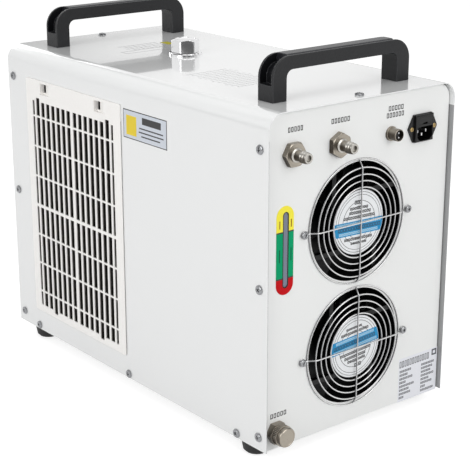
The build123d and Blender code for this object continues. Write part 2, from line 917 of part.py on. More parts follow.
def make_drain_cap():
    start = drain_nut_thickness + seat
    end = start + drain_cap_length
    inner = drain_spout + seat
    cap = turned(
        (inner, start),
        (drain_cap_radius, start),
        (drain_cap_radius, start + 4),
        (drain_cap_radius - 0.6, start + 4.4),
        (drain_cap_radius - 0.6, start + 5),
        (drain_cap_radius, start + 5.4),
        (drain_cap_radius, end - 1),
        (drain_cap_radius - 1, end),
        (0, end),
        (0, drain_nut_thickness + drain_spout_length + seat),
        (inner, drain_nut_thickness + drain_spout_length + seat),
    )
    return facing_rear(drain_x, rear_face, hood_bottom + drain_height) * cap


def sight_tube_y():
    return rear_inside - seat - sight_tube_radius


def make_sight_tube():
    ring = Circle(sight_tube_radius) - Circle(sight_tube_bore)
    z0 = hood_bottom + gauge_bottom - sight_tube_margin
    z1 = hood_bottom + gauge_top + sight_tube_margin
    tube = Pos(gauge_x, sight_tube_y()) * along_z(ring, z0, z1)
    middle = hood_bottom + (gauge_bottom + gauge_top) / 2
    play = (gauge_slot - sight_rib) / 2
    height = gauge_top - gauge_bottom - 2 * play
    rib = Pos(gauge_x, middle) * Rot(0, 0, 90) * SlotOverall(height, sight_rib)
    return tube + along_y(rib, sight_tube_y() + sight_tube_bore + seat, rear_face)


def make_inlet_body():
    half_body = inlet_body_width / 2
    half_height = inlet_body_height / 2
    flange = Polygon(
        (inlet_width / 2, 0), (half_body, half_height), (-half_body, half_height),
        (-inlet_width / 2, 0), (-half_body, -half_height), (half_body, -half_height), align=None
    )
    flange = fillet(flange.vertices(), 1)
    for hand in (1, -1):
        flange -= Pos(hand * inlet_screw_spread / 2, 0) * Circle(inlet_screw_radius + hole_play)
    body = along_z(flange, 0, inlet_flange)
    front = inlet_flange + inlet_rise
    raised = along_z(Rectangle(inlet_body_width - 1, inlet_body_height - 1), 0, front)
    body += chamfer(raised.faces().sort_by(Axis.Z)[-1].edges(), 1)
    back = -inlet_depth
    body += along_z(Rectangle(inlet_body_width - 3 * seat, inlet_body_height - 3 * seat), back, 0)
    socket = Pos(0, -socket_drop) * Rectangle(socket_width, socket_height)
    socket = chamfer(socket.vertices().group_by(Axis.Y)[0], socket_chamfer)
    body -= along_z(socket, front - socket_depth, front + 1)
    well = Pos(0, drawer_rise) * Rectangle(drawer_width + 2 * slide_play, drawer_height + 2 * slide_play)
    body -= along_z(well, front - drawer_depth - seat, front + 1)
    return facing_rear(inlet_x, rear_face, row_z) * Rot(0, 0, 180) * body


def make_inlet_pins():
    front = inlet_flange + inlet_rise
    base = front - socket_depth
    pins = []
    half_drop = earth_pin_drop / 2
    for x, y in ((-socket_pin_spread, half_drop), (0, -half_drop), (socket_pin_spread, half_drop)):
        section = Pos(x, y - socket_drop) * Rectangle(socket_pin_width, socket_pin_height)
        blade = along_z(section, base, base + socket_pin_length)
        pins.append(chamfer(blade.faces().sort_by(Axis.Z)[-1].edges(), 0.4))
    return [facing_rear(inlet_x, rear_face, row_z) * Rot(0, 0, 180) * pin for pin in pins]


def make_fuse_drawer():
    front = inlet_flange + inlet_rise
    drawer = along_z(Pos(0, drawer_rise) * Rectangle(drawer_width, drawer_height), front - drawer_depth, front)
    notch = Pos(0, drawer_rise - drawer_height / 2) * Rectangle(drawer_width / 3, 2 * drawer_notch)
    drawer -= along_z(notch, front - drawer_notch, front + 1)
    return facing_rear(inlet_x, rear_face, row_z) * Rot(0, 0, 180) * drawer


def make_inlet_screws():
    length = inlet_flange + 3 * sheet
    screw = pan_head_screw(inlet_screw_head, inlet_screw_head_height, inlet_screw_radius, length)
    places = [inlet_x + hand * inlet_screw_spread / 2 for hand in (1, -1)]
    return [facing_rear(x, rear_face + inlet_flange, row_z) * screw for x in places]


def make_alarm_shell():
    inner = alarm_radius - alarm_wall
    shell = turned(
        (alarm_thread - alarm_wall, -alarm_tail),
        (alarm_thread, -alarm_tail),
        (alarm_thread, 0),
        (alarm_flange_radius, 0),
        (alarm_flange_radius, alarm_flange_thickness - 0.5),
        (alarm_flange_radius - 0.5, alarm_flange_thickness),
        (alarm_radius, alarm_flange_thickness),
        (alarm_radius, alarm_reach - 0.5),
        (alarm_radius - 0.5, alarm_reach),
        (inner, alarm_reach),
        (inner, alarm_flange_thickness),
        (alarm_thread - alarm_wall, alarm_flange_thickness),
    )
    return facing_rear(alarm_x, rear_face, row_z) * shell


def alarm_floor():
    return alarm_reach - alarm_insert_sink


def make_alarm_insert():
    inner = alarm_radius - alarm_wall - slide_play / 2
    insert = bore(inner, alarm_flange_thickness + slide_play, alarm_floor())
    insert += bore(alarm_thread - alarm_wall - slide_play / 2, -alarm_tail, alarm_floor())
    for hand in (1, -1):
        insert -= Pos(0, hand * alarm_pin_spread / 2) * bore(alarm_pin_radius + slide_play / 2, -alarm_tail - 1, 20)
    return facing_rear(alarm_x, rear_face, row_z) * insert


def make_alarm_pins():
    pin = bore(alarm_pin_radius, -alarm_tail - 4, alarm_reach - 1)
    pin = chamfer(pin.faces().sort_by(Axis.Z)[-1].edges(), 0.4)
    places = [Pos(0, hand * alarm_pin_spread / 2) for hand in (1, -1)]
    return [facing_rear(alarm_x, rear_face, row_z) * place * pin for place in places]


# Button centres on the controller, from the controller's middle.
def button_places():
    across, down = button_spread
    return {
        "button_set": (button_x - across / 2, down / 2),
        "button_reset": (button_x + across / 2, down / 2),
        "button_down": (button_x - across / 2, -down / 2),
        "button_up": (button_x + across / 2, -down / 2),
    }


# Front-panel pieces are made with their axis pointing out of the front panel.
def on_front(x, solid):
    return facing_front(x, front_face, front_row_z) * solid


def make_controller():
    bezel = along_z(RectangleRounded(controller_width, controller_height, controller_corner), 0, controller_bezel)
    bezel = fillet(bezel.faces().sort_by(Axis.Z)[-1].edges(), 1)
    body = along_z(Rectangle(controller_body_width, controller_body_height), -controller_body_depth, 0)
    shape = bezel + body
    window = Pos(display_shift, display_raise) * Rectangle(display_width, display_height)
    shape -= along_z(window, controller_bezel - display_sink - 2, controller_bezel + 1)
    for x, y in button_places().values():
        shape -= Pos(x, y) * bore(button_radius + slide_play, controller_bezel - button_length - button_travel - seat,
                                  controller_bezel + 1)
    return on_front(controller_x, shape)


def make_display_window():
    pane = Pos(display_shift, display_raise) * Rectangle(display_width - slide_play, display_height - slide_play)
    return on_front(controller_x, along_z(pane, controller_bezel - display_sink - 2, controller_bezel - display_sink))


def make_button(x, y):
    button = bore(button_radius, controller_bezel + button_rise - button_length, controller_bezel + button_rise)
    button = fillet(button.faces().sort_by(Axis.Z)[-1].edges(), 0.6)
    return on_front(controller_x, Pos(x, y) * button)


def rocker_cavity():
    half = rocker_radius + seat
    return Rectangle(rocker_width + 2 * seat, 2 * half)


def make_switch_housing():
    bezel = along_z(RectangleRounded(switch_width, switch_height, 2), 0, switch_bezel)
    bezel = fillet(bezel.faces().sort_by(Axis.Z)[-1].edges(), 0.8)
    body = along_z(Rectangle(switch_width - 2 * switch_bezel, switch_height - 2 * switch_bezel), -switch_depth, 0)
    shape = bezel + body - along_z(rocker_cavity(), -rocker_radius - seat, switch_bezel + 1)
    return on_front(switch_x, shape)


# The rocker turns about its own middle line, just behind the panel's face.
def make_power_rocker():
    drum = along_x(Circle(rocker_radius), -rocker_width / 2, rocker_width / 2)
    cut_depth = 3 * rocker_radius
    for hand in (1, -1):
        wedge = Box(2 * rocker_width, cut_depth, cut_depth)
        wedge = Pos(0, 0, rocker_face + cut_depth / 2) * Pos(0, hand * cut_depth / 2) * wedge
        drum -= Rot(-hand * rocker_tilt, 0, 0) * wedge
    drum = Rot(rocker_tilt, 0, 0) * drum
    return on_front(switch_x, drum)


def tank_port_places():
    xs = {name: tank_right - inset for name, inset in port_insets.items()}
    return {
        "return": (xs["return"], row_z),
        "drain": (xs["drain"], tank_bottom + drain_port_rise),
        "gauge_low": (xs["gauge"], tank_bottom + gauge_port_rise),
        "gauge_high": (xs["gauge"], row_z - gauge_port_drop),
    }


def pump_suction_y():
    return tank_rear - 22


def make_water_tank():
    outline = Pos(tank_x, tank_mid_y) * RectangleRounded(tank_width, tank_depth, tank_corner)
    inside = Pos(tank_x, tank_mid_y) * RectangleRounded(
        tank_width - 2 * tank_wall, tank_depth - 2 * tank_wall, tank_corner - tank_wall
    )
    tank = along_z(outline, tank_bottom, tank_top)
    tank -= along_z(inside, tank_bottom + tank_wall, tank_top - tank_wall)
    tank -= Pos(0, filler_y) * bore(neck_radius + seat, tank_top - 2 * tank_wall, tank_top + 1)
    for x, z in tank_port_places().values():
        tank += facing_rear(x, tank_rear, z) * bore(port_radius, -tank_wall / 2, port_length)
    tank += Pos(pump_x, pump_suction_y()) * bore(port_radius, tank_bottom - port_length, tank_bottom + tank_wall / 2)
    return tank


# The shelf is a bridge on two legs that stand on the pan.
def make_tank_shelf():
    plate = Pos(tank_x, tank_mid_y) * Rectangle(tank_width, tank_depth)
    plate -= Pos(pump_x, pump_suction_y()) * Circle(shelf_hole)
    plate = along_z(plate, shelf_top - shelf_sheet, shelf_top)
    leg = Pos(tank_mid_y, (floor_top + shelf_top) / 2) * Rectangle(tank_depth, shelf_top - floor_top)
    leg -= Pos(tank_mid_y, (floor_top + shelf_top) / 2) * Rectangle(
        tank_depth - 2 * shelf_frame, shelf_top - floor_top - 2 * shelf_frame
    )
    shelf = plate
    for x, hand in ((tank_left, 1), (tank_right, -1)):
        inner = x + hand * shelf_sheet
        shelf += along_x(leg, min(x, inner), max(x, inner))
        toe_x = x - hand * (shelf_flange / 2 - shelf_sheet)
        toe = Pos(toe_x, tank_mid_y) * Rectangle(shelf_flange, tank_depth)
        shelf += along_z(toe, floor_top, floor_top + shelf_sheet)
    return shelf


def compressor_y():
    return rear_edge - compressor_from_rear


def compressor_base():
    return floor_top + mount_height


def compressor_foot_places():
    angles = (90, 210, 330)
    return [(compressor_foot_circle * cos(radians(a)), compressor_foot_circle * sin(radians(a))) for a in angles]


def make_compressor():
    base = compressor_base()
    low = base + compressor_plate - 1
    shell = bore(compressor_radius, low, low + compressor_height)
    shell = fillet(shell.edges().filter_by(GeomType.CIRCLE), compressor_dome)
    plate = Sketch()
    for x, y in compressor_foot_places():
        plate += Pos(x, y) * Circle(compressor_foot_radius)
    plate = make_hull(plate.edges()) + Circle(compressor_radius * 0.7)
    for x, y in compressor_foot_places():
        plate -= Pos(x, y) * Circle(screw_shank_radius + 1)
    shell += along_z(plate, base, base + compressor_plate)
    top = low + compressor_height
    shell += bore(stub_radius, top - 3, top + stub_length)
    side_stub = bore(stub_radius, compressor_radius - 3, compressor_radius + stub_length)
    shell += Pos(0, 0, suction_height()) * Rot(-90, 0, 0) * side_stub
    return Pos(compressor_x, compressor_y()) * shell


def suction_height():
    return compressor_base() + 0.75 * compressor_height


def make_compressor_mounts():
    bush = turned(
        (screw_shank_radius, 0),
        (mount_radius, 0),
        (mount_radius - 2, mount_height / 2),
        (mount_radius, mount_height),
        (screw_shank_radius, mount_height),
    )
    places = [Pos(compressor_x + x, compressor_y() + y, floor_top) for x, y in compressor_foot_places()]
    return [place * bush for place in places]


def pump_head_y():
    return rear_edge - pump_head_from_rear


def pump_z():
    return floor_top + pump_axis_height


def make_pump():
    head = bore(pump_head_radius, -pump_head_length, 0)
    head = fillet(head.edges().filter_by(GeomType.CIRCLE), 4)
    motor_end = -pump_head_length - pump_motor_length
    motor = bore(pump_motor_radius, motor_end, -pump_head_length)
    motor = fillet(motor.faces().sort_by(Axis.Z)[0].edges(), 6)
    shape = head + motor + bore(port_radius, -1, stub_length)
    shape = facing_rear(pump_x, pump_head_y(), pump_z()) * shape
    foot_y = pump_head_y() - pump_head_length - pump_motor_length / 2
    foot = Pos(pump_x, foot_y) * Rectangle(pump_foot_width, pump_motor_length * 0.7)
    shape += along_z(foot, floor_top, pump_z() - pump_motor_radius * 0.6)
    outlet = Pos(pump_x, pump_head_y() - pump_head_length / 2) * bore(
        port_radius, pump_z() + pump_head_radius - 3, pump_z() + pump_head_radius + stub_length
    )
    return shape + outlet


def condenser_span():
    x1 = side - condenser_behind
    return x1 - condenser_thickness, x1


# Finned block between two end plates, with the refrigerant bends at its front end.
def make_condenser():
    x0, x1 = condenser_span()
    y0 = grille_y - window_length / 2 + condenser_margin
    y1 = grille_y + window_length / 2 - condenser_margin
    z0 = floor_top
    z1 = grille_z + window_height / 2 - condenser_margin
    pitch = (y1 - y0 - 2 * condenser_plate) / fin_count
    core = Pos((x0 + x1) / 2, (y0 + y1) / 2) * Rectangle(condenser_thickness - 2 * fin_depth, y1 - y0)
    for step in range(fin_count):
        y = y0 + condenser_plate + (step + 0.5) * pitch
        core += Pos((x0 + x1) / 2, y) * Rectangle(condenser_thickness, fin_sheet)
    shape = along_z(core, z0 + condenser_margin, z1)
    end = Pos((x0 + x1) / 2, (z0 + z1) / 2) * Rectangle(condenser_thickness + 2, z1 - z0)
    for y in (y0, y1 - condenser_plate):
        shape += along_y(end, y, y + condenser_plate)
    for z in (line_z, condenser_high()):
        shape += facing_rear((x0 + x1) / 2, y1, z) * bore(stub_radius, -1, stub_length)
    return shape


def condenser_high():
    return grille_z + window_height / 2 - condenser_port_drop


def condenser_port_y():
    return grille_y + window_length / 2 - condenser_margin + stub_length


def condenser_x():
    return sum(condenser_span()) / 2


# Brazed plate evaporator on its own foot, with its four ports facing +X.
def make_evaporator():
    place = Pos(evaporator_y, floor_top + evaporator_lift + evaporator_height / 2)
    x0 = evaporator_x - evaporator_width / 2
    stack = along_x(
        place * RectangleRounded(
            evaporator_depth - 2 * plate_step, evaporator_height - 2 * plate_step, evaporator_corner - plate_step
        ), x0, x0 + evaporator_width)
    gap = evaporator_width / plate_count
    for step in range(plate_count):
        start = x0 + step * gap
        stack += along_x(
            place * RectangleRounded(evaporator_depth, evaporator_height, evaporator_corner), start, start + gap / 2
        )
    for y, z in evaporator_ports().values():
        stack += along_x(Pos(y, z) * Circle(stub_radius), x0 + evaporator_width - 1, evaporator_port_x())
    foot = Pos(evaporator_y, floor_top + evaporator_lift / 2 + 1) * Rectangle(
        evaporator_depth * 0.6, evaporator_lift + 2
    )
    return stack + along_x(foot, x0 + gap, x0 + evaporator_width - gap)


def evaporator_port_x():
    return evaporator_x + evaporator_width / 2 + stub_length


def evaporator_ports():
    front = evaporator_y - evaporator_depth / 2 + evaporator_port_inset
    back = evaporator_y + evaporator_depth / 2 - evaporator_port_inset
    high = line_z + evaporator_height - 2 * evaporator_port_inset - port_line_drop
    return {
        "refrigerant_in": (front, line_z),
        "refrigerant_out": (front, high),
        "water_in": (back, line_z),
        "water_out": (back, high),
    }


# The filter-drier lies halfway between the condenser and the turn of the capillary.
def drier_x():
    return (condenser_x() + evaporator_port_x() + liquid_reach) / 2


def make_filter_drier():
    half = drier_length / 2
    drum = along_x(Pos(drier_y, line_z) * Circle(drier_radius), drier_x() - half, drier_x() + half)
    return fillet(drum.edges().filter_by(GeomType.CIRCLE), 5)


def make_discharge_pipe():
    top = compressor_base() + compressor_plate - 1 + compressor_height + stub_length
    turn = top + discharge_rise
    far_y = tank_rear + pipe_behind_tank
    x = condenser_x()
    return bent_bar(
        pipe_radius, pipe_bend,
        (compressor_x, compressor_y(), top),
        (compressor_x, compressor_y(), turn),
        (compressor_x, far_y, turn),
        (x, far_y, turn),
        (x, far_y, condenser_high()),
        (x, condenser_port_y(), condenser_high()),
    )


def make_suction_pipe():
    y, z = evaporator_ports()["refrigerant_out"]
    x = evaporator_port_x()
    start_y = compressor_y() + compressor_radius + stub_length
    low = suction_height()
    return bent_bar(
        suction_radius, pipe_bend,
        (x, y, z),
        (x + suction_reach, y, z),
        (x + suction_reach, y, low),
        (x + suction_reach, start_y + suction_turn, low),
        (compressor_x, start_y + suction_turn, low),
        (compressor_x, start_y, low),
    )


# The liquid line in two lengths, before and after the filter-drier.
def make_liquid_lines():
    x = condenser_x()
    y, z = evaporator_ports()["refrigerant_in"]
    port = evaporator_port_x()
    first = bent_bar(
        pipe_radius, pipe_bend,
        (x, condenser_port_y(), line_z),
        (x, drier_y, line_z),
        (drier_x() + drier_length / 2, drier_y, line_z),
    )
    second = bent_bar(
        capillary_radius, capillary_bend,
        (drier_x() - drier_length / 2, drier_y, line_z),
        (port + liquid_reach, drier_y, line_z),
        (port + liquid_reach, y, line_z),
        (port, y, line_z),
    )
    return [first, second]


def make_pump_hoses():
    head_y = pump_head_y()
    rise_y = pump_suction_y()
    turn_y = rise_y + 2 * pipe_bend + 3
    middle = pump_z() + suction_hose_rise
    suction = bent_bar(
        hose_radius, pipe_bend,
        (pump_x, head_y + stub_length, pump_z()),
        (pump_x, turn_y, pump_z()),
        (pump_x, turn_y, middle),
        (pump_x, rise_y, middle),
        (pump_x, rise_y, tank_bottom - port_length),
    )
    y, z = evaporator_ports()["water_in"]
    out_y = head_y - pump_head_length / 2
    out_z = pump_z() + pump_head_radius + stub_length
    turn_x = pump_x - supply_reach
    turn_z = out_z + supply_rise
    supply = bent_bar(
        hose_radius, pipe_bend,
        (pump_x, out_y, out_z),
        (pump_x, out_y, turn_z),
        (turn_x, out_y, turn_z),
        (turn_x, y, turn_z),
        (turn_x, y, z),
        (evaporator_port_x(), y, z),
    )
    return [suction, supply]


def make_circuit_hoses():
    tail_y = rear_face - sheet - tail_length
    inlet, outlet = fitting_x
    y, z = evaporator_ports()["water_out"]
    port = evaporator_port_x()
    out_hose = bent_bar(
        hose_radius, hose_bend,
        (port, y, z),
        (port + outlet_hose_reach, y, z),
        (port + outlet_hose_reach, y, row_z),
        (outlet, y, row_z),
        (outlet, tail_y, row_z),
    )
    return_x, return_z = tank_port_places()["return"]
    turn_y = tank_rear + return_turn
    back_hose = bent_bar(
        hose_radius, hose_bend,
        (inlet, tail_y, row_z),
        (inlet, turn_y, row_z),
        (return_x, turn_y, row_z),
        (return_x, tank_rear + port_length, return_z),
    )
    return [out_hose, back_hose]


def make_drain_hose():
    x, z = tank_port_places()["drain"]
    low = hood_bottom + drain_height
    turn_y = tank_rear + drain_turn
    return bent_bar(
        hose_radius, hose_bend,
        (x, tank_rear + port_length, z),
        (x, turn_y, z),
        (drain_x, turn_y, z),
        (drain_x, turn_y, low),
        (drain_x, rear_face - sheet - tail_length, low),
    )


def make_gauge_hoses():
    x, low = tank_port_places()["gauge_low"]
    high = tank_port_places()["gauge_high"][1]
    y = sight_tube_y()
    turn_y = tank_rear + gauge_turn
    bottom = hood_bottom + gauge_bottom - sight_tube_margin
    top = hood_bottom + gauge_top + sight_tube_margin
    drop = bottom - gauge_drop
    lower = bent_bar(
        gauge_hose_radius, pipe_bend,
        (gauge_x, y, bottom),
        (gauge_x, y, drop),
        (gauge_x, turn_y, drop),
        (x, turn_y, drop),
        (x, turn_y, low),
        (x, tank_rear + port_length, low),
    )
    upper = bent_bar(
        gauge_hose_radius, pipe_bend,
        (gauge_x, y, top),
        (gauge_x, y, high),
        (gauge_x, turn_y, high),
        (x, turn_y, high),
        (x, tank_rear + port_length, high),
    )
    return [lower, upper]


def make_electrical_box():
    outline = Pos(box_x, box_y) * RectangleRounded(box_width, box_depth, box_corner)
    lid = Pos(box_x, box_y) * RectangleRounded(box_width + 2 * lid_lip, box_depth + 2 * lid_lip, box_corner)
    top = floor_top + box_height
    return along_z(outline, floor_top, top) + along_z(lid, top - lid_thickness, top)


def main():
    parts = {
        "hood": make_hood(),
        "base_pan": make_base_pan(),
        "rear_panel": make_rear_panel(),
        "front_panel": make_front_panel(),
        "feet": make_feet(),
        "foot_screws": make_foot_screws(),
        "hood_screws": make_hood_screws(),
        "side_grille": make_side_grille(),
        "dust_filter": make_dust_filter(),
        "handle_grips": make_handle_grips(),
        "handle_screws": make_handle_screws(),
        "filler_neck": make_filler_neck(),
        "filler_cap": make_filler_cap(),
        "cap_seal": make_cap_seal(),
        "fan_screws": make_fan_screws(),
        "inlet_fitting": make_water_fitting(fitting_x[0], 0),
        "outlet_fitting": make_water_fitting(fitting_x[1], 30),
        "fitting_nuts": make_fitting_nuts(),
        "drain_fitting": make_drain_fitting(),
        "drain_cap": make_drain_cap(),
        "sight_tube": make_sight_tube(),
        "power_inlet": make_inlet_body(),
        "inlet_pins": make_inlet_pins(),
        "fuse_drawer": make_fuse_drawer(),
        "inlet_screws": make_inlet_screws(),
        "alarm_connector": make_alarm_shell(),
        "alarm_insert": make_alarm_insert(),
        "alarm_pins": make_alarm_pins(),
        "controller": make_controller(),
        "display_window": make_display_window(),
        "switch_housing": make_switch_housing(),
        "power_rocker": make_power_rocker(),
        "water_tank": make_water_tank(),
        "tank_shelf": make_tank_shelf(),
        "compressor": make_compressor(),
        "compressor_mounts": make_compressor_mounts(),
        "pump": make_pump(),
        "condenser": make_condenser(),
        "evaporator": make_evaporator(),
        "filter_drier": make_filter_drier(),
        "discharge_pipe": make_discharge_pipe(),
        "suction_pipe": make_suction_pipe(),
        "liquid_lines": make_liquid_lines(),
        "pump_hoses": make_pump_hoses(),
        "circuit_hoses": make_circuit_hoses(),
        "drain_hose": make_drain_hose(),
        "gauge_hoses": make_gauge_hoses(),
        "electrical_box": make_electrical_box(),
    }
    for name, y in handle_ys.items():
        parts[name + "_handle"] = make_handle(y)
    frame, rotor, guard = fan_frame_shape(), fan_rotor_shape(), fan_guard_shape()
    for name, z in fan_zs.items():
        parts[name + "_fan_frame"] = facing_rear(fan_x, rear_inside, z) * frame
        parts[name + "_fan_rotor"] = facing_rear(fan_x, rear_inside, z) * rotor
        parts[name + "_fan_guard"] = facing_rear(fan_x, rear_face, z) * guard
    for name, (x, y) in button_places().items():
        parts[name] = make_button(x, y)
    os.makedirs("parts", exist_ok=True)
    for name, shape in parts.items():
        solid = Compound(children=list(shape)) if isinstance(shape, list) else shape
        export_step(solid, "parts/" + name + ".step")


main()
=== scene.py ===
import bpy
from math import atan2, cos, pi, radians, sin
from mathutils import Matrix, Vector


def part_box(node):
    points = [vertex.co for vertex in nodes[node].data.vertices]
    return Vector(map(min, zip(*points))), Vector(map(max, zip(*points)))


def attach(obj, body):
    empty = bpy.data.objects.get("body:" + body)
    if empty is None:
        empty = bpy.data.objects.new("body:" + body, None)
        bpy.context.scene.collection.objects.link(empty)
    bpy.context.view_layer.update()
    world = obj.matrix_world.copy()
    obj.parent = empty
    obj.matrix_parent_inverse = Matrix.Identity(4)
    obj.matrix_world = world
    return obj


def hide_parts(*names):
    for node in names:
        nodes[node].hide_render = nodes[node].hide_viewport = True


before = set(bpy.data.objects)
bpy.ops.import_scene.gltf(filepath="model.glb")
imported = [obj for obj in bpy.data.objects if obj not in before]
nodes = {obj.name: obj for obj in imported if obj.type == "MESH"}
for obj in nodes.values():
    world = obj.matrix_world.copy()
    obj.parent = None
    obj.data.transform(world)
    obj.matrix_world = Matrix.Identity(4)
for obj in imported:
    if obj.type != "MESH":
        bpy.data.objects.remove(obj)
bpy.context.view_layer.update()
mm = 0.001

# Faces that the places and prints below are measured from.
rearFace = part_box("rear_panel")[1].y
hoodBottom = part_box("hood")[0].z
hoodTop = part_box("hood")[1].z
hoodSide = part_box("hood")[1].x
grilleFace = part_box("side_grille")[1].x
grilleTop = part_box("side_grille")[1].z


def middleOf(node):
    low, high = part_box(node)
    return (low + high) / 2


def toLinear(hexCode):
    channels = [int(hexCode[i:i + 2], 16) / 255 for i in (1, 3, 5)]
    return tuple(c / 12.92 if c <= 0.04045 else ((c + 0.055) / 1.055) ** 2.4 for c in channels) + (1.0,)


def addNode(tree, kind, settings=None, links=None):
    node = tree.nodes.new(kind)
    for key, value in (settings or {}).items():
        if isinstance(key, str) and hasattr(node, key):
            setattr(node, key, value)
        else:
            node.inputs[key].default_value = value
    for key, source in (links or {}).items():
        tree.links.new(source, node.inputs[key])
    return node


def startMaterial(name, look):
    material = bpy.data.materials.new(name)
    material.use_nodes = True
    tree = material.node_tree
    tree.nodes.clear()
    shader = addNode(tree, "ShaderNodeBsdfPrincipled", look)
    addNode(tree, "ShaderNodeOutputMaterial", {}, {"Surface": shader.outputs["BSDF"]})
    place = addNode(tree, "ShaderNodeTexCoord").outputs["Object"]
    return material, tree, shader, place


def perMetre(sizeMm):
    return 1000 / sizeMm


# Camera: rear corner from a little above, fitted to the case's edges.
cameraView = {
    "lookAt": (-0.01054, 0.01420, 0.18324),
    "fromRear": 38.905, "elevation": 17.92, "distance": 1.76346,
    "lens": 103.69, "clip": (0.05, 50),
}


def placeCamera():
    v = cameraView
    a, e = radians(v["fromRear"]), radians(v["elevation"])
    back = Vector((sin(a) * cos(e), cos(a) * cos(e), sin(e)))
    data = bpy.data.cameras.new("camera")
    data.lens = v["lens"]
    camera = bpy.data.objects.new("camera", data)
    bpy.context.scene.collection.objects.link(camera)
    camera.location = Vector(v["lookAt"]) + back * v["distance"]
    camera.rotation_mode = "QUATERNION"
    camera.rotation_quaternion = (-back).to_track_quat("-Z", "Y")
    data.clip_start, data.clip_end = v["clip"]
    bpy.context.scene.camera = camera
    bpy.context.scene.view_settings.view_transform = "Standard"


# A broad soft lamp on the grille's side, a weaker one behind, one overhead and a fill in front.
studio = {
    "sky": 0.52,
    # darker patches of the room, seen only in what mirrors it
    "room": {"scale": 2.3, "from": 0.42, "to": 0.52, "shade": 0.3},
    "lamps": [
        # name, place, power in watts, size
        ("sideLamp", (2.0, 0.5, 1.1), 17.0, 1.3),
        ("rearLamp", (-0.2, 2.1, 1.0), 14.0, 1.2),
        ("topLamp", (-0.3, 0.2, 2.2), 6.5, 1.4),
        ("frontLamp", (-0.2, -2.2, 0.9), 10.0, 1.2),
    ],
    "lampAim": (0, 0, 0.2),
    "floorColour": "#C9C9C9", "floorGlow": 0.7, "floorSize": 14.0,
}


def seenDirectly(tree):
    rays = addNode(tree, "ShaderNodeLightPath").outputs
    either = addNode(tree, "ShaderNodeMath", {"operation": "MAXIMUM"},
                     {0: rays["Is Camera Ray"], 1: rays["Is Glossy Ray"]}).outputs[0]
    return addNode(tree, "ShaderNodeMath", {"operation": "MAXIMUM"},
                   {0: either, 1: rays["Is Transmission Ray"]}).outputs[0]


def buildSky():
    world = bpy.data.worlds.new("studioAir")
    bpy.context.scene.world = world
    world.use_nodes = True
    tree = world.node_tree
    tree.nodes.clear()
    strength = addNode(tree, "ShaderNodeMapRange", {"To Min": studio["sky"], "To Max": 1.0},
                       {"Value": seenDirectly(tree)})
    room = studio["room"]
    toward = addNode(tree, "ShaderNodeTexCoord").outputs["Generated"]
    patches = addNode(tree, "ShaderNodeTexNoise", {"Scale": room["scale"], "Detail": 0.0}, {"Vector": toward})
    shade = addNode(tree, "ShaderNodeMapRange", {
        "From Min": room["from"], "From Max": room["to"], "To Min": room["shade"], "To Max": 1.0,
    }, {"Value": patches.outputs["Fac"]})
    mirrored = addNode(tree, "ShaderNodeLightPath").outputs["Is Glossy Ray"]
    dim = addNode(tree, "ShaderNodeMapRange", {"To Min": 1.0},
                  {"Value": mirrored, "To Max": shade.outputs[0]})
    strength = addNode(tree, "ShaderNodeMath", {"operation": "MULTIPLY"},
                       {0: strength.outputs[0], 1: dim.outputs[0]})
    sky = addNode(tree, "ShaderNodeBackground", {"Color": (1, 1, 1, 1)}, {"Strength": strength.outputs[0]})
    addNode(tree, "ShaderNodeOutputWorld", {}, {"Surface": sky.outputs[0]})


def buildLamps():
    for name, place, power, size in studio["lamps"]:
        data = bpy.data.lights.new(name, "AREA")
        data.energy, data.size = power, size
        lamp = bpy.data.objects.new(name, data)
        bpy.context.scene.collection.objects.link(lamp)
        lamp.location = place
        lamp.rotation_mode = "QUATERNION"
        lamp.rotation_quaternion = (Vector(studio["lampAim"]) - Vector(place)).to_track_quat("-Z", "Y")


# The floor glows white where it is seen or mirrored, and keeps the shadow of what stands on it.
def buildFloor():
    half = studio["floorSize"] / 2
    corners = [(-half, -half, 0), (half, -half, 0), (half, half, 0), (-half, half, 0)]
    floor = meshObject("floor", corners, [(0, 1, 2, 3)])
    material = bpy.data.materials.new("paleFloor")
    material.use_nodes = True
    tree = material.node_tree
    tree.nodes.clear()
    matt = addNode(tree, "ShaderNodeBsdfDiffuse", {"Color": toLinear(studio["floorColour"])})
    glow = addNode(tree, "ShaderNodeMath", {"operation": "MULTIPLY", 1: studio["floorGlow"]},
                   {0: seenDirectly(tree)})
    white = addNode(tree, "ShaderNodeEmission", {}, {"Strength": glow.outputs[0]})
    both = addNode(tree, "ShaderNodeAddShader", {}, {0: matt.outputs[0], 1: white.outputs[0]})
    addNode(tree, "ShaderNodeOutputMaterial", {}, {"Surface": both.outputs[0]})
    floor.data.materials.append(material)


def meshObject(name, points, faces, smooth=False):
    mesh = bpy.data.meshes.new(name)
    mesh.from_pydata([tuple(p) for p in points], [], faces)
    mesh.validate()
    if smooth:
        mesh.polygons.foreach_set("use_smooth", [True] * len(mesh.polygons))
    piece = bpy.data.objects.new(name, mesh)
    bpy.context.scene.collection.objects.link(piece)
    return piece


# Closed rings joined into one skin, capped at both ends or run round to the first ring again.
def skinRings(rings, loop=False):
    count = len(rings[0])
    points = [p for ring in rings for p in ring]
    faces = []
    for a in range(len(rings) if loop else len(rings) - 1):
        b = (a + 1) % len(rings)
        for i in range(count):
            j = (i + 1) % count
            faces.append((a * count + i, a * count + j, b * count + j, b * count + i))
    if not loop:
        faces.append(tuple(reversed(range(count))))
        faces.append(tuple((len(rings) - 1) * count + i for i in range(count)))
    return points, faces


def joinParts(parts):
    points, faces = [], []
    for p, f in parts:
        start = len(points)
        points += list(p)
        faces += [tuple(i + start for i in face) for face in f]
    return points, faces


# One piece from its parts, with its finish, on the body that it moves with.
def addPiece(name, parts, material, body="cabinet", smooth=False):
    piece = meshObject(name, *joinParts(parts), smooth)
    piece.data.materials.append(finish[material])
    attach(piece, body)
    return piece


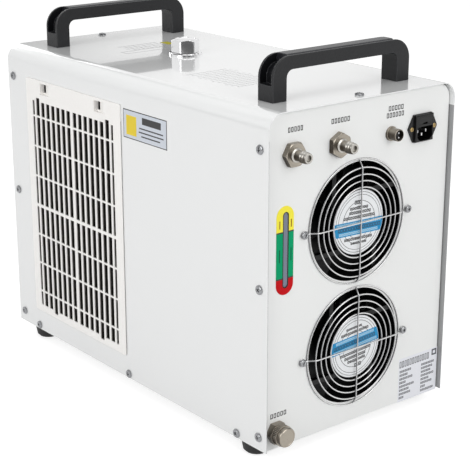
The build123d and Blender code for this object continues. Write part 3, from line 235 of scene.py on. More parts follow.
def aroundCircle(count):
    return [(cos(2 * pi * i / count), sin(2 * pi * i / count)) for i in range(count)]


def circlePoints(place, radius, height, count):
    return [place @ Vector((radius * c, radius * s, height)) for c, s in aroundCircle(count)]


def turnedPart(profile, segments, place, loop=False):
    return skinRings([circlePoints(place, radius, height, segments) for radius, height in profile], loop)


def flatRing(place, inner, outer, thickness, segments):
    profile = ((inner, 0), (inner, thickness), (outer, thickness), (outer, 0))
    return turnedPart(profile, segments, place, loop=True)


# Thin flat part from an outline in its own plane, its back on that plane.
def flatPart(outline, thickness, place):
    back = [place @ Vector((u, v, 0)) for u, v in outline]
    front = [place @ Vector((u, v, thickness)) for u, v in outline]
    return skinRings([back, front])


def bar(place, across, height, width, depth, thickness):
    left, right = across - width / 2, across + width / 2
    low, high = height - depth / 2, height + depth / 2
    return flatPart([(left, low), (right, low), (right, high), (left, high)], thickness, place)


# Plain bars laid on a face: across, up, width and height of each in millimetres.
def laidBars(name, place, bars, thickness, material, body="cabinet"):
    return addPiece(name, [bar(place, *b, thickness) for b in bars], material, body)


def openBox(across, height, width, depth, stroke):
    side, end = (width - stroke) / 2, (depth - stroke) / 2
    inner = width - 2 * stroke
    return [(across - side, height, stroke, depth), (across + side, height, stroke, depth),
            (across, height - end, inner, stroke), (across, height + end, inner, stroke)]


# A row of small open boxes round its middle, as wide apart as the letters of a printed line.
def boxRow(across, height, number, pitch, gap, tall, stroke):
    boxes = []
    for i in range(number):
        boxes += openBox(across + (i - (number - 1) / 2) * pitch, height, pitch - gap, tall, stroke)
    return boxes


# A face to work on in millimetres: across and upward lie in it, and the third axis points out of it.
def placeOn(origin, across, upward):
    out = Vector(across).cross(Vector(upward))
    turn = Matrix((across, upward, out)).transposed().to_4x4()
    return Matrix.Translation(origin) @ turn @ Matrix.Scale(mm, 4)


def rearPlace(x, z, out=0.0):
    return placeOn(Vector((x, rearFace + out * mm, z)), (-1, 0, 0), (0, 0, 1))


def sidePlace(y, z):
    return placeOn(Vector((hoodSide, y, z)), (0, 1, 0), (0, 0, 1))


def topPlace(x, y):
    return placeOn(Vector((x, y, hoodTop)), (-1, 0, 0), (0, -1, 0))


# 1 where a piece lies within the given distance of the frame's origin along every axis named, and 0 beyond.
def withinReach(tree, place, limits):
    axes = addNode(tree, "ShaderNodeSeparateXYZ", {}, {0: place}).outputs
    share = None
    for axis, limit in limits.items():
        reach = addNode(tree, "ShaderNodeMath", {"operation": "ABSOLUTE"}, {0: axes[axis]}).outputs[0]
        inside = addNode(tree, "ShaderNodeMath", {"operation": "LESS_THAN", 1: limit}, {0: reach})
        if share:
            inside = addNode(tree, "ShaderNodeMath", {"operation": "MULTIPLY"},
                             {0: share, 1: inside.outputs[0]})
        share = inside.outputs[0]
    return share


# Gloss that wanders by the given shares round its middle value; returns the noise, to serve as relief.
def unevenGloss(tree, shader, place, roughness, sizeMm, detail, least, most):
    noise = addNode(tree, "ShaderNodeTexNoise", {"Scale": perMetre(sizeMm), "Detail": detail},
                    {"Vector": place}).outputs["Fac"]
    gloss = addNode(tree, "ShaderNodeMapRange", {"To Min": roughness * least, "To Max": roughness * most},
                    {"Value": noise})
    tree.links.new(gloss.outputs[0], shader.inputs["Roughness"])
    return noise


# Fine relief of a depth in millimetres, over edges softened to a radius; returns the softened normal.
def addRelief(tree, shader, height, strength, depth, edge=0.0):
    bump = addNode(tree, "ShaderNodeBump", {"Strength": strength, "Distance": depth * mm}, {"Height": height})
    tree.links.new(bump.outputs[0], shader.inputs["Normal"])
    if not edge:
        return None
    soft = addNode(tree, "ShaderNodeBevel", {"samples": 4, "Radius": edge * mm}).outputs[0]
    tree.links.new(soft, bump.inputs["Normal"])
    return soft


# Powder coat on sheet steel, baked: a faint peel softens what it mirrors. inner holds the darker tone painted
# on the inner faces as shade, and how far along each axis they reach.
def powderCoat(name, colour, roughness, coat, peelMm=5.0, peel=0.06, inner=None):
    material, tree, shader, place = startMaterial(name, {
        "Base Color": toLinear(colour), "Roughness": roughness, "IOR": 1.5,
        "Coat Weight": coat, "Coat Roughness": 0.03,
    })
    unevenGloss(tree, shader, place, roughness, sizeMm=160, detail=1.0, least=0.85, most=1.2)
    waves = addNode(tree, "ShaderNodeTexNoise", {"Scale": perMetre(peelMm), "Detail": 2.0}, {"Vector": place})
    addRelief(tree, shader, waves.outputs["Fac"], strength=peel, depth=0.4)
    if inner:
        share = withinReach(tree, place, inner[1])
        tone = addNode(tree, "ShaderNodeMixRGB", {1: toLinear(colour), 2: toLinear(inner[0])}, {0: share})
        tree.links.new(tone.outputs[0], shader.inputs["Base Color"])
    return material


# The grain of a moulding: where its pits start and end in the noise, how much of their tone shows, and their
# depth in millimetres. An edge takes a painted highlight from the first cosine of its turn, and fully at the
# second.
mouldGrain = {"pits": (0.2, 0.6), "pitShare": 0.35, "depth": 0.3, "highlightTurn": (0.99, 0.9)}


# Moulded plastic with a spark-eroded grain: fine darker pits break up the highlight. The last argument is a
# paler colour painted along the edges as a highlight.
def mouldedPlastic(name, colour, roughness, grainMm, grain,
                   edge=0.0, ior=1.49, pit=0.72, inner=None, edgeHighlight=None):
    material, tree, shader, place = startMaterial(name, {
        "Base Color": toLinear(colour), "Roughness": roughness, "IOR": ior,
    })
    pits = addNode(tree, "ShaderNodeTexNoise", {"Scale": perMetre(grainMm), "Detail": 4.0, "Roughness": 0.6},
                   {"Vector": place}).outputs["Fac"]
    ramp = addNode(tree, "ShaderNodeValToRGB", {}, {0: pits})
    dark, light = ramp.color_ramp.elements
    dark.position, light.position = mouldGrain["pits"]
    dark.color = (pit, pit, pit, 1)
    tone = addNode(tree, "ShaderNodeMixRGB", {
        "blend_type": "MULTIPLY", 0: mouldGrain["pitShare"], 1: toLinear(colour),
    }, {2: ramp.outputs[0]}).outputs[0]
    # inner paints the inner faces a darker tone, as shade.
    if inner:
        share = withinReach(tree, place, inner[1])
        tone = addNode(tree, "ShaderNodeMixRGB", {2: toLinear(inner[0])}, {0: share, 1: tone}).outputs[0]
    soft = addRelief(tree, shader, pits, strength=grain, depth=mouldGrain["depth"], edge=edge)
    # Painted highlight: where the softened normal turns from the flat one, the edge takes the paler colour.
    if edgeHighlight:
        flat = addNode(tree, "ShaderNodeNewGeometry").outputs["Normal"]
        turn = addNode(tree, "ShaderNodeVectorMath", {"operation": "DOT_PRODUCT"}, {0: soft, 1: flat})
        start, end = mouldGrain["highlightTurn"]
        highlightShare = addNode(tree, "ShaderNodeMapRange", {"From Min": start, "From Max": end},
                       {"Value": turn.outputs["Value"]}).outputs[0]
        tone = addNode(tree, "ShaderNodeMixRGB", {2: toLinear(edgeHighlight)}, {0: highlightShare, 1: tone}).outputs[0]
    tree.links.new(tone, shader.inputs["Base Color"])
    return material


# Plated or bare metal: smudged gloss and fine scratches across the turning marks. Faces turned to the dark
# part of the room are toned down, a painted reflection: dark holds that direction, the shares of facing it
# where that starts and ends, and the tone.
def workedMetal(name, colour, roughness, markMm, marks, edge=0.0, dark=None):
    material, tree, shader, place = startMaterial(name, {
        "Base Color": toLinear(colour), "Roughness": roughness, "Metallic": 1.0,
    })
    smudge = unevenGloss(tree, shader, place, roughness, sizeMm=markMm, detail=3.0, least=0.7, most=1.35)
    addRelief(tree, shader, smudge, strength=marks, depth=0.2, edge=edge)
    # Painted reflection: the base colour darkens on faces turned toward the given direction.
    if dark:
        toward, start, end, shade = dark
        faces = addNode(tree, "ShaderNodeTexCoord").outputs["Normal"]
        facing = addNode(tree, "ShaderNodeVectorMath",
                         {"operation": "DOT_PRODUCT", 1: Vector(toward).normalized()}, {0: faces})
        share = addNode(tree, "ShaderNodeMapRange",
                        {"From Min": start, "From Max": end, "interpolation_type": "SMOOTHSTEP"},
                        {"Value": facing.outputs["Value"]})
        tone = addNode(tree, "ShaderNodeMixRGB", {1: toLinear(colour), 2: toLinear(shade)},
                       {0: share.outputs[0]})
        tree.links.new(tone.outputs[0], shader.inputs["Base Color"])
    return material


# Printed or plain film: an even satin face with a slight mottle.
def printedFilm(name, colour, roughness=0.4, ior=1.5):
    material, tree, shader, place = startMaterial(name, {
        "Base Color": toLinear(colour), "Roughness": roughness, "IOR": ior,
    })
    unevenGloss(tree, shader, place, roughness, sizeMm=3, detail=3.0, least=0.8, most=1.25)
    return material


# The numbers are roughness, size of the pattern in millimetres, its strength and how far edges are softened;
# for a coat they are roughness and clear coat, and for a film roughness and IOR.
finish = {
    # Sheet steel, powder coated and baked: glossy on the hood, satin on the panels, greyer inside the hood as
    # painted shade.
    "hoodCoat": powderCoat("hoodPowderCoat", "#EFF0F0", 0.16, 1.0, peel=0.03,
                           inner=("#9A9B9C", {"X": hoodSide - 0.7 * mm, "Z": hoodTop - 29 * mm})),
    "panelCoat": powderCoat("panelPowderCoat", "#F3F4F3", 0.34, 0.1),
    # Moulded ABS: a warm white with a soft sheen, dull and dark on the walls of the slots, where shade is
    # painted in.
    "grilleAbs": mouldedPlastic("grilleMouldedAbs", "#FFFDFA", 0.4, 1.2, 0.05, 0.5, ior=1.75, pit=0.9,
                                inner=("#4A4540", {"X": grilleFace - 1.2 * mm, "Z": grilleTop - 21.1 * mm})),
    # Reticulated foam: black open cells that swallow the light, drawn coarser than they are so as to show.
    "filterFoam": mouldedPlastic("filterReticulatedFoam", "#070606", 0.9, 2.2, 0.9, ior=1.2),
    # Grained nylon: dark, with pits coarse enough to show and a painted highlight along the edges.
    "handleNylon": mouldedPlastic("handleGrainedNylon", "#101114", 0.36, 2.2, 0.9, 0.8, ior=1.4, pit=0.4,
                                  edgeHighlight="#5A5B5F"),
    "gripNylon": mouldedPlastic("gripGrainedNylon", "#1D1E23", 0.34, 2.2, 0.9, 0.8, ior=1.45, pit=0.4,
                                edgeHighlight="#6E6F74"),
    # Smooth mouldings: a tight highlight on black nylon, a duller one on grey ABS, a wet one on the rocker.
    "blackPlastic": mouldedPlastic("blackMouldedNylon", "#0B0B0C", 0.3, 0.8, 0.1, 0.3, ior=1.4),
    "greyButton": mouldedPlastic("greyMouldedAbs", "#9A9DA1", 0.4, 0.8, 0.08, 0.2),
    "redRocker": mouldedPlastic("redPolycarbonate", "#B3241F", 0.18, 0.9, 0.03, 0.3),
    # Moulded rubber: matt black with a soft grey light along its edges.
    "footRubber": mouldedPlastic("footRubber", "#131313", 0.65, 1.0, 0.3, 0.5),
    "hoseRubber": mouldedPlastic("hoseRubber", "#161616", 0.6, 1.5, 0.2),
    # Painted casting and pressed blades: near black, with a thin light along the struts.
    "fanCasting": mouldedPlastic("fanPaintedCasting", "#060607", 0.32, 1.2, 0.2, 0.5, ior=1.36),
    "fanBlade": mouldedPlastic("fanPaintedSteel", "#080809", 0.4, 2.0, 0.1, ior=1.3),
    # Bright chrome plate: a clean mirror, darker where it faces the dark of the room, a painted reflection.
    "brightChrome": workedMetal("brightChromePlate", "#EAEAEB", 0.07, 6.0, 0.02, 0.3,
                                dark=((0.5, 0.86, 0), 0.84, 0.94, "#9A9A9B")),
    # Chromed wire: softer than the polished plate, and greyer on the grille's side, a painted reflection.
    "guardChrome": workedMetal("guardChromedWire", "#D8D8D8", 0.24, 4.0, 0.08,
                               dark=((1, 0.3, 0), 0.3, 0.8, "#7E7E80")),
    # Nickel plate: tight and grey on the screws, warm and satin on the fittings, brighter on the hose ends.
    "screwChrome": workedMetal("screwNickelPlate", "#8E8F91", 0.16, 2.0, 0.1, 0.15),
    # On the fittings and hose ends a painted reflection darkens the faces turned toward +X and downward.
    "fittingNickel": workedMetal("fittingSatinNickel", "#9C958A", 0.3, 2.5, 0.15, 0.3,
                                 dark=((0.8, -0.2, -0.5), 0.2, 0.8, "#4E4841")),
    "barbNickel": workedMetal("barbBrightNickel", "#B5B2AC", 0.32, 2.0, 0.12, 0.2,
                              dark=((0.8, -0.2, -0.5), 0.2, 0.8, "#55504A")),
    # Turned brass, zinc-plated and stainless sheet, bare fins, drawn copper: each mirrors in its own colour.
    "brass": workedMetal("turnedBrass", "#A58F62", 0.3, 2.0, 0.1, 0.15),
    "zincSheet": workedMetal("zincPlatedSheet", "#B5B7B9", 0.38, 25.0, 0.05),
    "stainless": workedMetal("stainlessSheet", "#B9B9B8", 0.3, 12.0, 0.05),
    "finAluminium": workedMetal("finAluminium", "#C4C6C8", 0.35, 3.0, 0.2),
    "copperTube": workedMetal("copperTube", "#B8714F", 0.28, 8.0, 0.06),
    # Painted iron and stove enamel: a rough grey casting beside a smooth black shell.
    "pumpIron": mouldedPlastic("pumpPaintedIron", "#5A5D60", 0.5, 2.0, 0.4),
    "compressorEnamel": mouldedPlastic("compressorEnamel", "#101010", 0.25, 3.0, 0.1),
    # Level gauge: flat strong colours with hardly a sheen, and a clear tube that looks grey-blue.
    "sightTube": printedFilm("gaugeClearTube", "#7F8594", 0.35, 1.3),
    "brownInk": printedFilm("gaugeBrownInk", "#8A5A1E", 0.45, 1.3),
    "deepGreenInk": printedFilm("gaugeDarkGreenInk", "#00583A", 0.45, 1.25),
    "yellowEnamel": printedFilm("gaugeYellowInk", "#FFF24A", 0.45, 1.3),
    "greenEnamel": printedFilm("gaugeGreenInk", "#00A06A", 0.45, 1.2),
    "redEnamel": printedFilm("gaugeRedInk", "#C80F18", 0.45, 1.2),
    # Motor label: a pale foil with a satin blue band printed on it.
    "labelFoil": printedFilm("motorLabelFoil", "#F0F2F4", 0.3),
    "labelBlue": printedFilm("motorLabelBlueInk", "#1590C8", 0.35, 1.35),
    "labelDarkBlue": printedFilm("motorLabelDarkInk", "#1B4A66", 0.35),
    "labelPaleBlue": printedFilm("motorLabelPaleInk", "#A9D2E8", 0.35),
    # Printing inks and films on the case: thin, even and a little duller than the coat under them.
    "labelInk": printedFilm("printedGreyInk", "#222224", 0.45),
    "stickerGround": printedFilm("stickerPaleFilm", "#D3D9E2", 0.3),
    "dullYellowInk": printedFilm("topDullYellowInk", "#B8AE1E", 0.4),
    "stickerYellow": printedFilm("stickerYellowInk", "#EBCF1E", 0.4),
    "greyInk": printedFilm("printedMidGreyInk", "#3A3E42", 0.45),
    "ratingFilm": printedFilm("ratingPaleFilm", "#EDEEF4", 0.35),
    "paleInk": printedFilm("printedPaleInk", "#C9C9CA", 0.4),
    "midInk": printedFilm("printedMidInk", "#9C9C9E", 0.4),
    "whiteInk": printedFilm("printedWhiteInk", "#E8E8E8", 0.4),
    # Display: a dark tinted pane, polished, with its unlit digits just showing.
    "displaySegment": printedFilm("displayUnlitSegments", "#341519", 0.3),
    "displayPane": printedFilm("displayTintedPane", "#1A0E0F", 0.08),
}

dress = {
    "hoodCoat": ["hood"],
    "panelCoat": ["rear_panel", "front_panel", "base_pan"],
    "grilleAbs": ["side_grille"],
    "filterFoam": ["dust_filter"],
    "handleNylon": ["rear_handle", "front_handle"],
    "gripNylon": ["handle_grips"],
    "blackPlastic": ["power_inlet", "fuse_drawer", "alarm_insert", "controller", "switch_housing"],
    "greyButton": ["button_set", "button_reset", "button_down", "button_up"],
    "redRocker": ["power_rocker"],
    "footRubber": ["feet", "cap_seal", "compressor_mounts"],
    "hoseRubber": ["pump_hoses", "circuit_hoses", "drain_hose", "gauge_hoses"],
    "fanCasting": ["lower_fan_frame", "upper_fan_frame"],
    "fanBlade": ["lower_fan_rotor", "upper_fan_rotor"],
    "brightChrome": ["filler_neck", "filler_cap", "inlet_pins", "alarm_pins"],
    "guardChrome": ["lower_fan_guard", "upper_fan_guard"],
    "screwChrome": ["hood_screws", "foot_screws", "handle_screws", "fan_screws"],
    "fittingNickel": ["inlet_fitting", "outlet_fitting", "fitting_nuts", "drain_fitting", "drain_cap",
                      "alarm_connector"],
    "brass": ["inlet_screws"],
    "zincSheet": ["tank_shelf", "electrical_box"],
    "stainless": ["water_tank", "evaporator"],
    "finAluminium": ["condenser"],
    "copperTube": ["filter_drier", "discharge_pipe", "suction_pipe", "liquid_lines"],
    "pumpIron": ["pump"],
    "compressorEnamel": ["compressor"],
    "sightTube": ["sight_tube"],
    "displayPane": ["display_window"],
}


def dressNodes():
    for name, members in dress.items():
        for node in members:
            slots = nodes[node].data.materials
            if len(slots):
                for i in range(len(slots)):
                    slots[i] = finish[name]
            else:
                slots.append(finish[name])
    plain = sorted(set(nodes) - {n for members in dress.values() for n in members})
    print("nodes without a finish:", plain)


# A wire bent to a ring; wire is its radius here and below.
def wireCircle(place, radius, height, wire, segments, sides=8):
    rings = []
    for c, s in aroundCircle(segments):
        section = [(radius + wire * u, height + wire * v) for u, v in aroundCircle(sides)]
        rings.append([place @ Vector((reach * c, reach * s, rise)) for reach, rise in section])
    return skinRings(rings, loop=True)


# A wire led from corner to corner, bent round each of them and cut flat at its ends.
def wireRun(place, corners, bend, wire, sides=8, steps=4):
    corners = [Vector(corner) for corner in corners]
    path = [corners[0]]
    for before, corner, after in zip(corners, corners[1:], corners[2:]):
        start = corner + (before - corner).normalized() * bend
        end = corner + (after - corner).normalized() * bend
        for t in (k / steps for k in range(steps + 1)):
            path.append(start * (1 - t) ** 2 + corner * 2 * t * (1 - t) + end * t ** 2)
    path.append(corners[-1])
    flat = Vector((0, 0, 1)).cross(path[-1] - path[0]).normalized()
    around = aroundCircle(sides)
    rings = []
    for i, point in enumerate(path):
        along = (path[min(i + 1, len(path) - 1)] - path[max(i - 1, 0)]).normalized()
        lift = flat.cross(along).normalized()
        rings.append([place @ (point + flat * (wire * c) + lift * (wire * s)) for c, s in around])
    return skinRings(rings)


# Fan guards: an outer ring at rest, four raised rings, two crossed wires and an eyelet under each screw.
guard = {
    "wire": 0.95, "rest": 1.05, "step": 4.6, "outer": 73.9, "rings": (41.5, 49.0, 56.5, 64.5),
    "cross": 1.6,                           # lift of the crossed wires over the raised rings, in wire radii
    "shoulder": 0.5, "footLift": 0.4,       # a crossed wire climbs from just inside the outer ring
    "eyeletReach": 81.3, "eyelet": 4.0, "bend": 2.2,
    "nugget": ((0.5, -0.9), (1.15, -0.5), (1.3, 0), (1.15, 0.5), (0.5, 0.9)),       # a weld, in wire radii
    "outerPoints": 128, "ringPoints": 112, "eyeletPoints": 32, "nuggetPoints": 10,
}


# The small swollen spot where a ring is welded to the crossing wire.
def weldNugget(place, across, height, wire):
    spot = place @ Matrix.Translation((across, 0, height))
    return turnedPart([(wire * u, wire * v) for u, v in guard["nugget"]], guard["nuggetPoints"], spot)


def buildFanGuard(fan):
    g = guard
    centre = middleOf(fan + "_fan_frame")
    place = rearPlace(centre.x, centre.z)
    raised = g["rest"] + g["step"]
    over = raised + g["cross"] * g["wire"]
    parts = [wireCircle(place, g["outer"], g["rest"], g["wire"], g["outerPoints"])]
    parts += [wireCircle(place, radius, raised, g["wire"], g["ringPoints"]) for radius in g["rings"]]
    foot, top = g["outer"] - g["shoulder"], g["rings"][-1] + g["shoulder"]
    start = g["rest"] + g["footLift"]
    upright = [(-foot, 0, start), (-top, 0, over), (top, 0, over), (foot, 0, start)]
    ends = g["eyeletReach"] - g["eyelet"]
    level = [(-ends, 0, g["rest"])] + upright + [(ends, 0, g["rest"])]      # it runs on to the eyelets
    for turn, corners in ((0, level), (90, upright)):
        spin = place @ Matrix.Rotation(radians(turn), 4, "Z")
        parts.append(wireRun(spin, corners, g["bend"], g["wire"]))
        for radius in g["rings"]:
            for hand in (1, -1):
                parts.append(weldNugget(spin, hand * radius, (raised + over) / 2, g["wire"]))
    for hand in (1, -1):
        spot = place @ Matrix.Translation((hand * g["eyeletReach"], 0, 0))
        parts.append(wireCircle(spot, g["eyelet"], g["rest"], g["wire"], g["eyeletPoints"]))
    piece = addPiece(fan + "FanGuard", parts, "guardChrome", smooth=True)
    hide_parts(fan + "_fan_guard")


# Foil label on each fan motor: printed circles, a blue band and rows of small open boxes.
hubLabel = {
    "radius": 38.3, "thickness": 0.25, "motorFace": 3.4, "points": 96,
    "wall": 0.6, "rounding": 0.2,                           # straight share of its edge, and the bevel above
    "turns": {"upper": -2.0, "lower": 184.0},
    "film": 0.08, "circleFilm": 0.6, "rowFilm": 0.8,        # shares of the film, so that no prints lie level
    "circles": ((0.93, 0.5), (0.845, 0.5), (0.66, 0.6), (0.5, 0.5)),        # share of the radius, line width
    "band": (-14.5, 2.0), "bandReach": 0.985,
    # height, number of boxes, pitch, box height, shift across
    "rows": [(24.0, 3, 3.6, 4.6, -3), (17.2, 8, 3.6, 3.0, -1), (12.0, 10, 3.4, 3.4, 1),
             (6.4, 14, 3.5, 3.4, 0), (-19.0, 13, 3.4, 3.2, 0), (-24.4, 7, 3.6, 2.6, 1)],
    "bandRows": [(-0.9, 20, 3.5, 3.4, 0), (-11.5, 17, 3.6, 3.2, 0)],
    "bandDark": [(-6.2, 16, 4.2, 4.4, 1)],
    "gap": 0.5, "stroke": 1.0,
}


# Outline of the part of a disc between two heights.
def discBand(radius, low, high, steps=24):
    start, end = [atan2(v, (radius ** 2 - v ** 2) ** 0.5) for v in (low, high)]
    angles = [start + (end - start) * k / steps for k in range(steps + 1)]
    right = [(radius * cos(a), radius * sin(a)) for a in angles]
    return right + [(-u, v) for u, v in reversed(right)]


def labelBoxes(rows):
    boxes = []
    for height, number, pitch, tall, shift in rows:
        boxes += boxRow(shift, height, number, pitch, hubLabel["gap"], tall, hubLabel["stroke"])
    return boxes


def buildHubLabel(fan):
    h = hubLabel
    centre = middleOf(fan + "_fan_frame")
    place = rearPlace(centre.x, centre.z, h["motorFace"]) @ Matrix.Rotation(radians(h["turns"][fan]), 4, "Z")
    r, t, film = h["radius"], h["thickness"], h["film"]
    foil = turnedPart([(r, 0), (r, t * h["wall"]), (r - h["rounding"], t)], h["points"], place)
    addPiece(fan + "HubLabel", [foil], "labelFoil")
    lift = place @ Matrix.Translation((0, 0, t))
    band = flatPart(discBand(r * h["bandReach"], *h["band"]), film, lift)
    addPiece(fan + "HubLabelBand", [band], "labelBlue")
    marks = [flatRing(lift, r * share - width / 2, r * share + width / 2, film * h["circleFilm"], h["points"])
             for share, width in h["circles"]]
    marks += [bar(lift, *box, film * h["rowFilm"]) for box in labelBoxes(h["rows"])]
    addPiece(fan + "HubLabelMarks", marks, "labelInk")
    over = lift @ Matrix.Translation((0, 0, film))
    laidBars(fan + "HubLabelPaleBars", over, labelBoxes(h["bandRows"]), film, "labelPaleBlue")
    laidBars(fan + "HubLabelDarkBars", over, labelBoxes(h["bandDark"]), film, "labelDarkBlue")


# Printed plate round the level gauge: high, normal and low water fields with the slot between.
gaugePlate = {
    "centre": 114.4, "width": 24.9, "top": 287.7, "bottom": 184.7, "thickness": 0.5,
    "yellowFrom": 257.8, "greenFrom": 204.1,
    "slotX": 113.5, "slotWidth": 6.6, "slotTop": 279.8, "slotBottom": 193.4,
    "slotRim": 0.9, "rimProud": 0.15, "rimDeep": 0.6,
    "line": 1.6, "film": 0.06,
    # ink, height, width and depth of a mark on either side of the slot
    "marks": {
        "gaugeHighMarks": ("brownInk", 267.0, 1.3, 9.0),
        "gaugeLevelMarks": ("deepGreenInk", 231.0, 1.3, 15.0),
    },
}


def roundedEnd(middle, radius, height, hand, steps=16):
    angles = [pi * k / steps for k in range(steps + 1)]
    return [(middle + radius * cos(a), height + hand * radius * sin(a)) for a in angles]


def buildGaugePlate():
    g = gaugePlate
    base = rearPlace(g["centre"] * mm, hoodBottom)
    half, slot, t = g["width"] / 2, g["slotWidth"] / 2 + g["slotRim"], g["thickness"]
    shift = g["centre"] - g["slotX"]                    # across runs towards -X
    sides = [(-half, shift - slot), (shift + slot, half)]
    high, low = g["yellowFrom"], g["greenFrom"]
    slotHigh, slotLow = g["slotTop"] - g["slotWidth"] / 2, g["slotBottom"] + g["slotWidth"] / 2

    def endField(edge, tip, slotTip, hand):
        inner = list(reversed(roundedEnd(shift, slot, slotTip, hand)))
        return ([(half, edge)] + roundedEnd(0, half, tip, hand) + [(-half, edge), (shift - slot, edge)]
                + inner + [(shift + slot, edge)])

    fields = {
        "yellow": [endField(high, g["top"] - half, slotHigh, 1)],
        "green": [[(left, low), (right, low), (right, high), (left, high)] for left, right in sides],
        "red": [list(reversed(endField(low, g["bottom"] + half, slotLow, -1)))],
    }
    for colour, outlines in fields.items():
        parts = [flatPart(outline, t, base) for outline in outlines]
        addPiece(colour + "GaugeField", parts, colour + "Enamel")
    lift = base @ Matrix.Translation((0, 0, t))
    lines = [((left + right) / 2, height, right - left, g["line"])
             for left, right in sides for height in (high, low)]
    laidBars("gaugeLines", lift, lines, g["film"], "labelInk")
    for name, (ink, height, wide, tall) in g["marks"].items():
        marks = [((left + right) / 2, height, wide, tall) for left, right in sides]
        laidBars(name, lift, marks, g["film"], ink)
    bore, proud = slot - g["slotRim"], t + g["rimProud"]
    loops = []
    for radius, rise in ((bore, -g["rimDeep"]), (bore, proud), (slot, proud), (slot, 0)):
        loop = roundedEnd(shift, radius, slotHigh, 1) + list(reversed(roundedEnd(shift, radius, slotLow, -1)))
        loops.append([base @ Vector((u, v, rise)) for u, v in loop])
    addPiece("gaugeSlotRim", [skinRings(loops, loop=True)], "blackPlastic")


# Pan-head screw with a cross recess, in shares of its head's radius and height.
screwHead = {
    "rounds": ((0.97, 0), (1, 0.12), (1, 0.35), (0.92, 0.68), (0.76, 0.9), (0.5, 1)), "points": 24,
    "arm": 0.13, "reach": 0.46,
    "recess": ((1.0, 0.98), (0.62, 0.3)),           # scale and height of the cross at its mouth and its floor
}


# Six points to a quarter, so that the cross joins a round of 24.
def crossOutline(arm, reach):
    middle = (arm + reach) / 2
    corner = [(reach, 0), (reach, arm), (middle, arm), (arm, arm), (arm, middle), (arm, reach)]
    points = []
    for _ in range(4):
        points += corner
        corner = [(-v, u) for u, v in corner]
    return points


def crossScrew(place, radius, height, turn):
    s = screwHead
    spin = place @ Matrix.Rotation(radians(turn), 4, "Z")
    rings = [circlePoints(spin, radius * share, height * rise, s["points"]) for share, rise in s["rounds"]]
    for scale, rise in s["recess"]:
        outline = crossOutline(s["arm"] * radius * scale, s["reach"] * radius * scale)
        rings.append([spin @ Vector((u, v, height * rise)) for u, v in outline])
    return skinRings(rings)


# Each screw stopped at a turn of its own, in degrees: the second of a pair is added on one side and taken off
# on the other.
hoodScrew = {
    "radius": 5.6, "height": 2.6, "fromEnd": 13.5, "heights": (16, 195, 354),
    "panHeight": 6.2, "panFromEnd": 53, "turns": (37, 20), "topTurn": 28,
}
fanScrew = {"radius": 4.6, "height": 2.4, "reach": 81.3, "seat": 2.3, "turns": (40, 25)}
inletScrew = {"radius": 2.8, "height": 1.2, "spread": 18.5, "seat": 2.5, "turns": (0, 50)}


def buildHoodScrews():
    h = hoodScrew
    low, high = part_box("hood")
    ends = (high.y - h["fromEnd"] * mm, low.y + h["fromEnd"] * mm)
    spots = [(y, z) for y in ends for z in h["heights"]]
    row = (high.y - h["panFromEnd"] * mm, (high.y + low.y) / 2, low.y + h["panFromEnd"] * mm)
    spots += [(y, h["panHeight"]) for y in row]
    step, side = h["turns"]
    parts = []
    for count, (y, z) in enumerate(spots):
        for hand in (1, -1):
            out = placeOn(Vector((hand * hoodSide, y, hoodBottom + z * mm)), (0, hand, 0), (0, 0, 1))
            parts.append(crossScrew(out, h["radius"], h["height"], step * count + side * hand))
    parts += [crossScrew(topPlace(0, y), h["radius"], h["height"], h["topTurn"]) for y in ends]
    piece = addPiece("hoodScrewHeads", parts, "screwChrome")
    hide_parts("hood_screws")


def buildFanScrews():
    f = fanScrew
    turn, side = f["turns"]
    parts = []
    for fan in ("lower", "upper"):
        centre = middleOf(fan + "_fan_frame")
        for hand in (1, -1):
            out = rearPlace(centre.x + hand * f["reach"] * mm, centre.z, f["seat"])
            parts.append(crossScrew(out, f["radius"], f["height"], turn + side * hand))
    piece = addPiece("fanScrewHeads", parts, "screwChrome")
    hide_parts("fan_screws")


def buildInletScrews():
    s = inletScrew
    turn, side = s["turns"]
    x, z = middleOf("power_inlet").x, middleOf("inlet_screws").z
    parts = []
    for hand in (1, -1):
        out = rearPlace(x + hand * s["spread"] * mm, z, s["seat"])
        parts.append(crossScrew(out, s["radius"], s["height"], turn + side * hand))
    piece = addPiece("inletScrewHeads", parts, "brass")
    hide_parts("inlet_screws")


# Rows of small open boxes on the rear panel, each with the size and weight of a line of print.
wordRows = {
    "stroke": 1.05, "height": 5.8, "gap": 1.3, "film": 0.08,
    "rows": [
        # middle as X, height above the hood's lower edge, number of boxes, pitch
        (101.0, 371.6, 5, 4.5), (34.6, 371.8, 6, 4.8), (-52.0, 373.6, 5, 5.0), (-51.0, 365.8, 6, 4.8),
        (121.2, 40.6, 5, 5.0),
    ],
}


def buildWordRows():
    w = wordRows
    boxes = []
    for x, z, number, pitch in w["rows"]:
        boxes += boxRow(-x, z, number, pitch, w["gap"], w["height"], w["stroke"])
    laidBars("panelWordRows", rearPlace(0, hoodBottom), boxes, w["film"], "labelInk")


# The sticker beside the grille: a pale ground with a dark edge, a yellow field and plain bars.
sticker = {
    "middle": (35.4, 352.0), "width": 89.0, "height": 35.5, "edge": 1.1, "ground": 0.12, "film": 0.1,
    "yellow": [(-27.5, -1.0, 21.0, 24.0)],
    "bars": [(14.0, 8.4, 38.0, 8.4), (13.0, -1.2, 48.0, 1.5), (13.0, -6.0, 50.0, 1.5),
             (12.0, -10.8, 38.0, 1.5)],
}


def buildSticker():
    t = sticker
    y, z = t["middle"]
    wide, tall = t["width"], t["height"]
    place = sidePlace(y * mm, z * mm)
    laidBars("sideSticker", place, [(0, 0, wide, tall)], t["ground"], "labelInk")
    over = place @ Matrix.Translation((0, 0, t["ground"]))
    ground = (0, 0, wide - 2 * t["edge"], tall - 2 * t["edge"])
    laidBars("sideStickerGround", over, [ground], t["film"], "stickerGround")
    top = over @ Matrix.Translation((0, 0, t["film"]))
    laidBars("sideStickerYellow", top, t["yellow"], t["film"], "stickerYellow")
    laidBars("sideStickerBars", top, t["bars"], t["film"], "labelInk")


